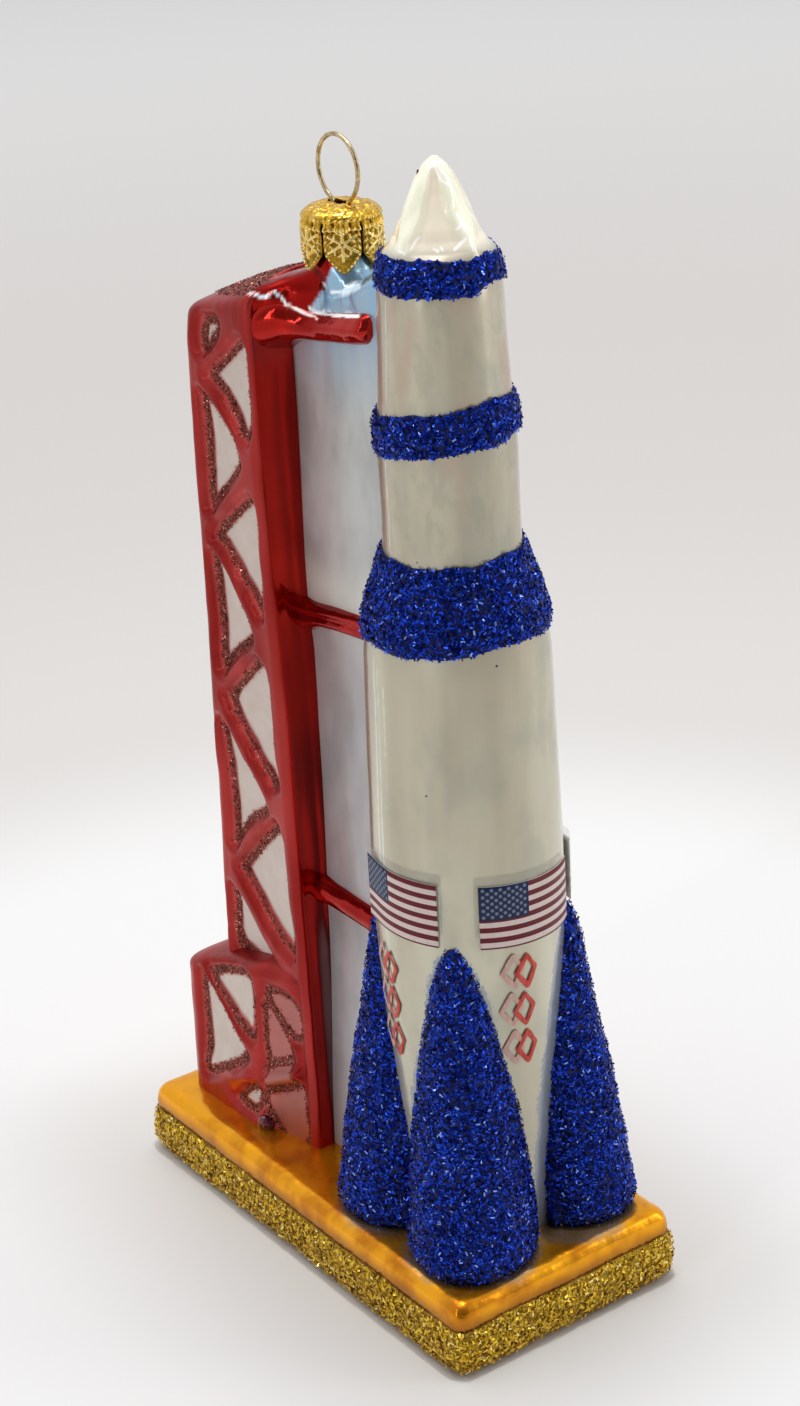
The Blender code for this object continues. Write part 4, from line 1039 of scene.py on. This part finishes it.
for seed, (name, arm) in enumerate(arms.items()):
    grid = ovalAlong(arm["rows"])
    grid[..., 2] += 0.16 * softNoise(grid, (4, 5, 3), 120 + seed)
    _, y, z = axes(grid)
    pair = bell(z + 0.13 * y, 158.6, 0.6) + 0.7 * bell(z + 0.13 * y, 156.3, 0.7)
    groove = {"armMid": 0.9 * bell(z + 0.12 * y, 110.4, 0.55), "armHigh": 0.4 * ease(4, 0, y) * pair}
    grid[..., 0] -= np.sign(grid[..., 0]) * groove.get(name, 0)
    if name == "shoulder":
        addClosed(name, grid, silverGlass, "silver_glass", (), silverValues(grid))
    else:
        # painted shade at the high arm's root, where it meets the tower
        deep = (0.5 if name == "armHigh" else 0) * ease(3.5, 6.5, y)
        values = {"whiteShare": 0, "glueIn": -3, "sleekShare": 1, "glintIn": paintedHighlightShare(grid)}
        addClosed(name, grid, redLacquer, "red_lacquer", (arm["node"],), {**values, "deepShare": deep})
print("arms made")

# wall between rocket and tower: up one side, over the top and down the other, at each place along y
wall = {"low": 12.6, "lip": 2.4, "top": [
    # y, z
    (-12.5, 168.4), (-11, 167.9), (-6, 165.4), (-2.2, 164), (1, 165.4), (8, 164)]}


def wallGrid():
    # the half thickness at each height, rounded to zero over the lip and drawn in at the foot
    y, v = np.meshgrid(np.linspace(-14.5, 9.8, 34), np.linspace(-1, 1, 330), indexing="ij")
    top = along(wall["top"], y)
    z = top - (top - wall["low"]) * np.clip(np.abs(v) * 1.04, 0, 1)
    across = np.clip((top - z) / wall["lip"], 0, 1)
    half = along(wallHalf, z) * np.sqrt(1 - (1 - across) ** 2) * ease(1, 0.96, np.abs(v))
    grid = spots(np.sign(v) * half, y, z)
    grid[..., 0] += np.sign(v) * 0.18 * softNoise(grid, (9, 6, 22), 131) * across
    return grid


grid = wallGrid()
addClosed("wallGlass", grid, silverGlass, "silver_glass", ("wall_low", "wall_mid", "wall_high", "wall_top"),
          silverValues(grid))

# neck: an open tube that flares into the wall's top, round above and long below
neck = {"y": 0.35, "bore": 0.82, "rows": [
    # z, half x, half y
    (161.5, 3.9, 9), (163.6, 4.2, 7.4), (165, 4.5, 6.2), (166.2, 4.8, 5.3), (167.2, 4.75, 4.9),
    (168.6, 4.6, 4.6), (173.8, 4.5, 4.5)]}


def neckGrid():
    # rings from the table, then the same rings drawn in by the bore's share on the way down
    t, h = np.meshgrid(circle(72), np.linspace(161.5, 173.8, 40))
    grid = spots(along(neck["rows"], h) * np.sin(t), -along(neck["rows"], h, 2) * np.cos(t), h)
    return np.concatenate([grid, grid[::-1] * [neck["bore"], neck["bore"], 1]]) + [0, neck["y"], 0]


grid = neckGrid()
shade = 0.9 * ease(167, 168.4, grid[..., 2]) * ease(171, 170, grid[..., 2])
addClosed("neckGlass", grid, silverGlass, "neck_glass", ("neck",), {**silverValues(grid), "shadeIn": shade})
print("wall and neck made")

# stickers: a curved print with a grey margin that stands out above it and to one side: its clear film and a
# painted shadow of the print
sticker = {
    "height": 10.6, "rows": [
        # name, CAD node, first and last angle, angle before which it stands off straight, z of the lower left
        # corner, rise to the right, which side the margin with the painted shadow stands out
        ("stickerFront", "sticker_front", -31.4, 43.5, -180, 67.9, -1.5, -1),
        ("stickerLeft", "sticker_left", -115.9, -55.5, -101.2, 68.6, -0.45, 1),
        ("stickerRight", "sticker_right", 58.5, 133.5, 77, 67.2, -1.5, -1)],
    "wide": 19.6, "radius": 15, "stripes": 12.3, "cornerWide": 0.415, "cornerTall": 0.538, "shadowUp": 1.9,
    "shadowSide": 0.85}


def makeStickerPrint():
    # thirteen stripes counted down from the top edge, a dark corner field with rows of small pale stars
    p = newMaterial("stickerPrint")
    split = p.add("SeparateXYZ", {"Vector": p.add("UVMap", uv_map="faceMap")["UV"]})
    u, down = split["X"], p.calc("SUBTRACT", 1, split["Y"])
    stripes = p.calc("PINGPONG", p.calc("ADD", p.times(down, sticker["stripes"]), 0.5), 1)
    grain = p.noise(1.2)
    pale = p.blend(grain, (0.7, 0.56, 0.53), (0.8, 0.68, 0.64))
    dark = p.blend(grain, (0.11, 0.006, 0.012), (0.17, 0.013, 0.02))
    across = p.times(p.calc("DIVIDE", u, sticker["cornerWide"]), 12)
    rise = p.times(p.calc("DIVIDE", down, sticker["cornerTall"]), 10)
    column, row = p.calc("ROUND", across), p.calc("ROUND", rise)
    odd = p.calc("PINGPONG", p.calc("ADD", column, row), 1)
    offX, offY = p.calc("SUBTRACT", across, column), p.calc("SUBTRACT", rise, row)
    far = p.calc("ADD", p.calc("POWER", offX, 2), p.calc("POWER", p.times(offY, 0.85), 2))
    inside = p.times(p.calc("GREATER_THAN", row, 0.5), p.calc("LESS_THAN", row, 9.5),
                     p.calc("GREATER_THAN", column, 0.5), p.calc("LESS_THAN", column, 11.5),
                     p.calc("LESS_THAN", odd, 0.5))
    field = p.blend(p.times(inside, p.remap(far, 0.26, 0.08), 0.6), (0.009, 0.018, 0.065), (0.3, 0.36, 0.5))
    corner = p.times(p.calc("LESS_THAN", u, sticker["cornerWide"]),
                     p.calc("LESS_THAN", down, sticker["cornerTall"]))
    colour = p.blend(corner, p.blend(p.remap(stripes, 0.47, 0.53), pale, dark), field)
    return p.finish({"Roughness": 0.42, "Specular IOR Level": 0.25,
                     "Base Color": p.blend(p.value("backIn"), colour, (0.92, 0.91, 0.89))})


def makeStickerFilmAndShadow():
    # clear film and a painted shadow of the print, seen against the lacquer: a faint grey that fades at its edges
    p = newMaterial("stickerFilmAndShadow")
    amount = p.times(p.remap(p.value("filmAndShadowIn"), 0, 0.3), p.remap(p.noise(0.8), 0.2, 0.7, 0.12, 0.24))
    return p.finish({"Base Color": (0.3, 0.31, 0.29), "Roughness": 0.25, "Coat Weight": 0.5, "Metallic": 0.3,
                     "Alpha": amount})


stickerPrint, stickerFilmAndShadow = makeStickerPrint(), makeStickerFilmAndShadow()


def stickerGrid(row, out, shiftUp=0, shiftSide=0):
    # u across the angle, v up the height; before the bend angle the sticker leaves the body along its tangent
    _, _, first, last, bend, low, rise, _ = row
    u, v = np.meshgrid(np.linspace(0, 1, 72), np.linspace(0, 1, 14))
    angle = first + (last - first) * u + math.degrees(shiftSide / sticker["radius"])
    z = low + shiftUp + v * sticker["height"] + rise * u
    past = np.radians(np.clip(bend - angle, 0, None)) * sticker["radius"]
    return onRocket(np.maximum(angle, bend), z, out) + past[..., None] * around(bend - 90, 1, 0, 0), u, v


for row in sticker["rows"]:
    name, node, side = row[0], row[1], row[-1]
    grid, u, v = stickerGrid(row, 0.3)
    rows, cols = u.shape
    uv = shellOf(spots(u, v), spots(u, v))
    uv = np.concatenate([uv.reshape(-1, 2), uv[:1].mean(1), uv[-1:].mean(1)])
    back = {"backIn": np.repeat([0, 1], rows)}
    addClosed(name, shellOf(grid, stickerGrid(row, 0.12)[0]), stickerPrint, "sticker", (node,), back, uv=uv)
    # the grey margin: clear film and a painted shadow of the print, shifted up and to one side
    filmAndShadow, u, v = stickerGrid(row, 0.09, sticker["shadowUp"], sticker["shadowSide"] * side)
    inside = np.minimum(np.minimum(u, 1 - u) * sticker["wide"], np.minimum(v, 1 - v) * sticker["height"])
    addPiece(name + "FilmAndShadow", filmAndShadow, gridFaces(rows, cols, False), stickerFilmAndShadow, "sticker", values={"filmAndShadowIn": inside})
print("stickers made")

# painted marks under the stickers: three diamond outlines one above the other, each with its paler reflection
marks = {
    "wide": 1.75, "tall": 2.75, "stroke": 0.38, "radius": 14.6,
    "corners": [(0, 1), (0.9, 0.1), (0.1, -1), (-1, -0.05)], "rows": [
        # angle, z of the middle
        (-3, 62.6), (-4.5, 55.9), (-3, 49), (-95, 61.6), (-95.5, 55.2), (-94.5, 48.8), (96, 61), (95, 54.8),
        (96, 48.4)]}


def markStroke(angle, z, out, tall, seed):
    # a brush stroke along a diamond: u goes round the four sides, v across the stroke, rounded over
    u = np.linspace(0, 4, 96, endpoint=False)
    side = np.floor(u).astype(int)
    first, second = np.array(marks["corners"])[[side, (side + 1) % 4]]
    spot = first + (second - first) * (u - side)[:, None]
    for _ in range(3):
        spot = 0.25 * np.roll(spot, 1, 0) + 0.5 * spot + 0.25 * np.roll(spot, -1, 0)
    way = unit(np.roll(spot, -1, 0) - np.roll(spot, 1, 0))
    v = np.linspace(-1, 1, 7)
    width = marks["stroke"] * (1 + 0.3 * softNoise(spots(*spot.T, 0), 0.5, seed))[:, None]
    x = spot[:, :1] * marks["wide"] + way[:, 1:] * v * width
    y = spot[:, 1:] * marks["tall"] - way[:, :1] * v * width
    return onRocket(angle + np.degrees(x / marks["radius"]), z + y, out + tall * np.sqrt(1 - v * v))


def makeMarkPaint(name, colour, dry):
    # thin brushed paint, paler where the brush ran dry
    p = newMaterial(name)
    colour = p.blend(p.remap(p.noise(1.6, 3, 0.5, 0.35), 0.3, 0.7), colour, dry)
    return p.finish({"Roughness": 0.4, "Specular IOR Level": 0.3, "Base Color": colour})


def addMarks(name, material, out, tall, left, up):
    # all strokes as one piece, moved to the left and up by the given mm
    strokes = []
    for seed, (angle, z) in enumerate(marks["rows"]):
        grid = markStroke(angle - math.degrees(left / marks["radius"]), z + up, out, tall, 200 + seed)
        strokes.append(np.concatenate([grid, grid[:1]]))
    addPiece(name, np.stack(strokes), manyFaces(np.stack(strokes)), material, "sticker")


markPaint = makeMarkPaint("markPaint", (0.55, 0.035, 0.025), (0.68, 0.1, 0.07))
# painted reflection: the same paint in paler tones, copies of the marks in the silvering, shifted left and up
markReflection = makeMarkPaint("markReflection", (0.62, 0.33, 0.28), (0.66, 0.46, 0.38))
addMarks("markStrokes", markPaint, 0.3, 0.1, 0, 0)
addMarks("markReflections", markReflection, 0.27, 0, 2.3, 0.5)
print("marks made")

# cap: a dome and six tabs, each tab with its own columns; the dents are the stamped pattern
cap = {
    "y": 0.35, "tabs": 6, "front": -35, "snow": 170.4, "perTab": 57, "radius": 6,
    "top": 175.5, "hole": ((-1.2, 0.75), (-1.3, 2.7)),  # its ends in x, in y
    "profile": [
        # distance down the skin from the dome's middle, radius, z
        (0, 0, 175.55), (2, 2, 175.5), (4, 4, 175.15), (5, 4.95, 174.85), (5.5, 5.4, 174.6),
        (6, 5.8, 174.25), (6.4, 5.97, 173.85), (7, 6, 173.25), (14.3, 6.05, 166)],
    "edge": [
        # distance down the skin, half angle of a tab
        (6.9, 30), (7.2, 28.7), (11.2, 28.4), (11.7, 26.6), (12.4, 21.6), (13.1, 15.5), (13.7, 9.5),
        (14.1, 4.5), (14.3, 0.6)]}


def capRelief(s, z, skin):
    # height of the stamped pattern: six snow arms with branches, a border of dots, windows under the rim, ribs
    dz = z - cap["snow"]
    star = np.zeros(s.shape)
    for turn in np.radians([90, 150, 210, 270, 330, 30]):
        a, b = s * np.cos(turn) + dz * np.sin(turn), dz * np.cos(turn) - s * np.sin(turn)
        arm = ease(0.33, 0.17, np.abs(b)) * ease(2.75, 2.55, a) * ease(0, 0.3, a)
        for fork in (-1, 1):
            c, d = (a - 1.35) * 0.5 + fork * b * 0.866, b * 0.5 - (a - 1.35) * 0.866 * fork
            branch = ease(0.25, 0.1, np.abs(d)) * ease(1, 0.85, c) * ease(0, 0.15, c)
            arm = np.maximum(arm, branch)
        star = np.maximum(star, arm)
    inset = np.radians(along(cap["edge"], skin)) * cap["radius"] - np.abs(s)
    low = z - (along(cap["profile"], 14.3, 2) + 0.095 * s * s)
    beads = np.cos((np.abs(s) * 1.1 + dz) * 6) > 0.1
    dots = ease(0.3, 0.12, np.abs(np.minimum(inset, low) - 0.42)) * beads * ease(172.3, 171.6, z)
    row = ease(0.36, 0.26, np.abs(z - 173.2)) * ease(-0.1, 0.25, np.cos(s * 2 * np.pi / 1.45))
    lip = ease(0.26, 0.1, np.abs(z - 172.45)) * 0.8 + ease(0.3, 0.15, np.abs(z - 173.95)) * 0.6
    rib = np.cos(s * 2 * np.pi / 0.9) * ease(171.6, 172.1, z) * ease(174.7, 174.1, z)
    return (0.36 * star - 0.17) * ease(172.4, 172, z) + 0.45 * dots - 0.17 * row + 0.2 * lip + 0.11 * rib


def capGrid():
    # rows follow the skin, columns each tab's angle; the pattern stands out sideways, the dome's dents upwards
    skin = np.concatenate([np.linspace(0.25, 6, 48), np.linspace(6.1, 13.2, 66), np.linspace(13.3, 14.3, 14)])
    u, k = np.meshgrid(np.linspace(-1, 1, cap["perTab"]), skin)
    turn = u * along(cap["edge"], k)
    angle = (cap["front"] + 60 * np.arange(cap["tabs"]))[:, None, None] + turn
    r, z = along(cap["profile"], k), along(cap["profile"], k, 2)
    side = ease(6, 6.6, k)
    place = around(angle, r, z, 0)
    dent = 0.14 * softNoise(place, 0.55, 301) + 0.08 * softNoise(place, 0.3, 302)
    dent = dent * (1 - 0.75 * side) + 0.04 * softNoise(place, 1.2, 303)
    out = capRelief(np.radians(turn) * cap["radius"], z, k) * side + dent * ease(0.2, 1.2, k)
    return around(angle, r + out * side, z + out * (1 - side), cap["y"]), out


def addCap():
    # the grids of the tabs joined, a fan over the middle, the slot left out, then a sheet 0.3 mm thick
    grid, relief = capGrid()
    tabs, rows, cols = relief.shape
    faces = manyFaces(grid)
    points = np.concatenate([grid.reshape(-1, 3), [[0, cap["y"], cap["top"]]]])
    (left, right), (front, back) = cap["hole"]
    x, y, z = points[faces].mean(1).T
    faces = faces[~((x > left) & (x < right) & (y > front) & (y < back) & (z > 174.4))]
    ring = (np.arange(tabs)[:, None] * rows * cols + np.arange(cols)).ravel()
    fan = np.stack([ring, np.roll(ring, -1), np.full(len(ring), len(points) - 1)], 1)
    x = points[fan[:, :2], 0].mean(1)
    fan = fan[(x <= left) | (x >= right)]
    piece = addPiece("capShell", points, [faces, fan], giltCap, "gilt_metal", ("cap",),
                     {"raised": np.append(relief, 0)}, body="cap")
    work = bmesh.new()
    work.from_mesh(piece.data)
    bmesh.ops.remove_doubles(work, verts=work.verts, dist=0.00001)
    bmesh.ops.recalc_face_normals(work, faces=work.faces)
    work.to_mesh(piece.data)
    work.free()
    skin = piece.modifiers.new("sheet", "SOLIDIFY")
    skin.thickness = 0.0003
    skin.offset = -1


addCap()

wire = {"radius": 0.36, "ring": 5.1, "y": 0.5, "z": 180.3, "legs": [
    # y from the ring's middle, z
    (3.1, 167.4), (2.9, 168.4), (2.2, 173), (1.7, 174.6)]}


def wirePath():
    # up one leg, round the ring and down the other leg, then evened out
    legs = np.array(wire["legs"])
    turn = np.radians(np.linspace(-66, 246, 150))
    ring = spots(wire["ring"] * np.cos(turn), wire["z"] + wire["ring"] * np.sin(turn))
    flat = np.concatenate([legs, ring, legs[::-1] * [-1, 1]]) + [wire["y"], 0]
    return spots(0, *evened(readLine(flat, np.linspace(0, lengthTo(flat)[-1], 260)), 10).T)


def tubeAlong(path, radius, steps):
    # a circle of the given radius carried along a path in the plane of Y and Z, square to its direction
    way = unit(np.gradient(path, axis=0))
    side = unit(np.cross(way, [1, 0, 0]))
    t = circle(steps)[:, None]
    return path[:, None] + radius * (np.cos(t) * side[:, None] + np.sin(t) * np.cross(side, way)[:, None])


grid = tubeAlong(wirePath(), wire["radius"], 16)
addClosed("wireRing", grid, giltWire, "gilt_wire", ("wire_ring",), body="wire")
print("cap and ring made")

# a drop of dark glass at the foot's lower corner, and the brown spot at the tip of the nose
drops = {
    # middle, half size
    "footDrop": ((-14.6, 18.9, 13.9), (1.7, 1.8, 1.5)), "tipSpot": ((-2.2, -22.6, 183.7), (0.25, 0.25, 0.45))}


def dropGrid(middle, size):
    # a ball stretched along the three axes, with a lumpy skin
    t, p = np.meshgrid(circle(28), np.linspace(0.05, np.pi - 0.05, 16))
    way = spots(np.sin(p) * np.cos(t), np.sin(p) * np.sin(t), -np.cos(p))
    return middle + way * size * (1 + 0.16 * softNoise(way, 0.8, 310))[..., None]


def makeDrop(name):
    # dark clouded glass under a clear coat
    p = newMaterial(name)
    cloud = p.blend(p.remap(p.noise(0.9, 3), 0.35, 0.65), (0.05, 0.004, 0.02), (0.25, 0.02, 0.04))
    return p.finish({"Metallic": 0.3, "Roughness": 0.2, "Coat Weight": 1, "Base Color": cloud})


for name, drop in drops.items():
    addClosed(name, dropGrid(*drop), makeDrop(name + "Glass"), "red_lacquer")
print("drops made")

# camera fitted to the photograph, a floor with a painted shadow round the base, soft studio light
view = {"place": (-232.852, -341.994, 276.192), "turn": -34.847, "tilt": 23.728, "roll": -3.3074,
        "lens": 72.887}


def addPlaced(name, data, right, up, back, place):
    # an object that looks along its three directions from a place in mm
    item = bpy.data.objects.new(name, data)
    scene.collection.objects.link(item)
    turned = np.eye(4)
    turned[:3] = np.stack([right, up, back, np.array(place) * mm], 1)
    item.matrix_world = Matrix(turned.tolist())
    return item


def addCamera():
    # backwards by turn and tilt, then rolled about that line
    turn, tilt, roll = (math.radians(view[key]) for key in ("turn", "tilt", "roll"))
    back = np.array([math.sin(turn) * math.cos(tilt), -math.cos(turn) * math.cos(tilt), math.sin(tilt)])
    level = np.array([math.cos(turn), math.sin(turn), 0])
    rise = np.cross(back, level)
    right = math.cos(roll) * level + math.sin(roll) * rise
    up = math.cos(roll) * rise - math.sin(roll) * level
    data = bpy.data.cameras.new("camera")
    data.lens = view["lens"]
    data.sensor_width = 36
    data.clip_start = 0.01
    scene.camera = addPlaced("camera", data, right, up, back, view["place"])


def addLight(name, place, size, power):
    # a lamp turned towards the middle of the ornament
    data = bpy.data.lights.new(name, "AREA")
    data.shape = "RECTANGLE"
    data.size, data.size_y = size
    data.energy = power
    back = unit(np.array(place) - [0, 0, 90])
    side = unit(np.cross([0, 0, 1], back))
    addPlaced(name, data, side, np.cross(back, side), back, place)


def addFloor():
    # a wide sheet, white round the object, warm grey further off, and a painted shadow close beside the base
    p = newMaterial("paperFloor")
    place = p.own()
    away = p.vector("LENGTH", place)["Value"]
    over = p.vector("SUBTRACT", p.vector("ABSOLUTE", place)["Vector"], (0.022, 0.045, 0))["Vector"]
    beside = p.vector("LENGTH", p.vector("MAXIMUM", over)["Vector"])["Value"]
    colour = (0.84, 0.835, 0.82)
    # the third step is a painted shadow round the base
    for far, low, high, first, last, tone in (
            (away, 0.135, 0.215, 0, 1, (0.69, 0.665, 0.64)), (away, 0.22, 0.38, 0, 1, (0.66, 0.63, 0.605)),
            (beside, 0, 0.04, 0.5, 0, (0.62, 0.59, 0.56)), (away, 0.45, 1.1, 0, 1, (0.8, 0.79, 0.77))):
        colour = p.blend(p.remap(far, low, high, first, last), colour, tone)
    mesh = bpy.data.meshes.new("floor")
    mesh.from_pydata([(-6, -6, 0), (6, -6, 0), (6, 6, 0), (-6, 6, 0)], [], [(0, 1, 2, 3)])
    mesh.materials.append(p.finish({"Roughness": 0.75, "Specular IOR Level": 0.15, "Base Color": colour}))
    floor = bpy.data.objects.new("floor", mesh)
    scene.collection.objects.link(floor)


def addWorld():
    # brighter away from the given direction and dimmer towards it
    world = bpy.data.worlds.new("studio")
    world.use_nodes = True
    p = Paint(world, world.node_tree, world.node_tree.nodes["Background"])
    front = p.vector("DOT_PRODUCT", p.add("TexCoord")["Generated"], (-0.55, -0.8, 0.1))["Value"]
    scene.world = p.finish({"Color": (0.96, 0.97, 1), "Strength": p.remap(front, 0.15, 0.85, 0.76, 0.14)})
    scene.view_settings.view_transform = "Standard"


addCamera()
addWorld()
addFloor()
addLight("overhead", (40, -40, 1250), (0.08, 0.08), 4)
addLight("ceiling", (0, 500, 2100), (1.8, 1.8), 13)
addLight("leftSide", (-900, -160, 420), (0.03, 0.8), 0.9)
addLight("rightSide", (760, -620, 330), (0.25, 0.9), 1.6)
print("camera, floor and lights made")
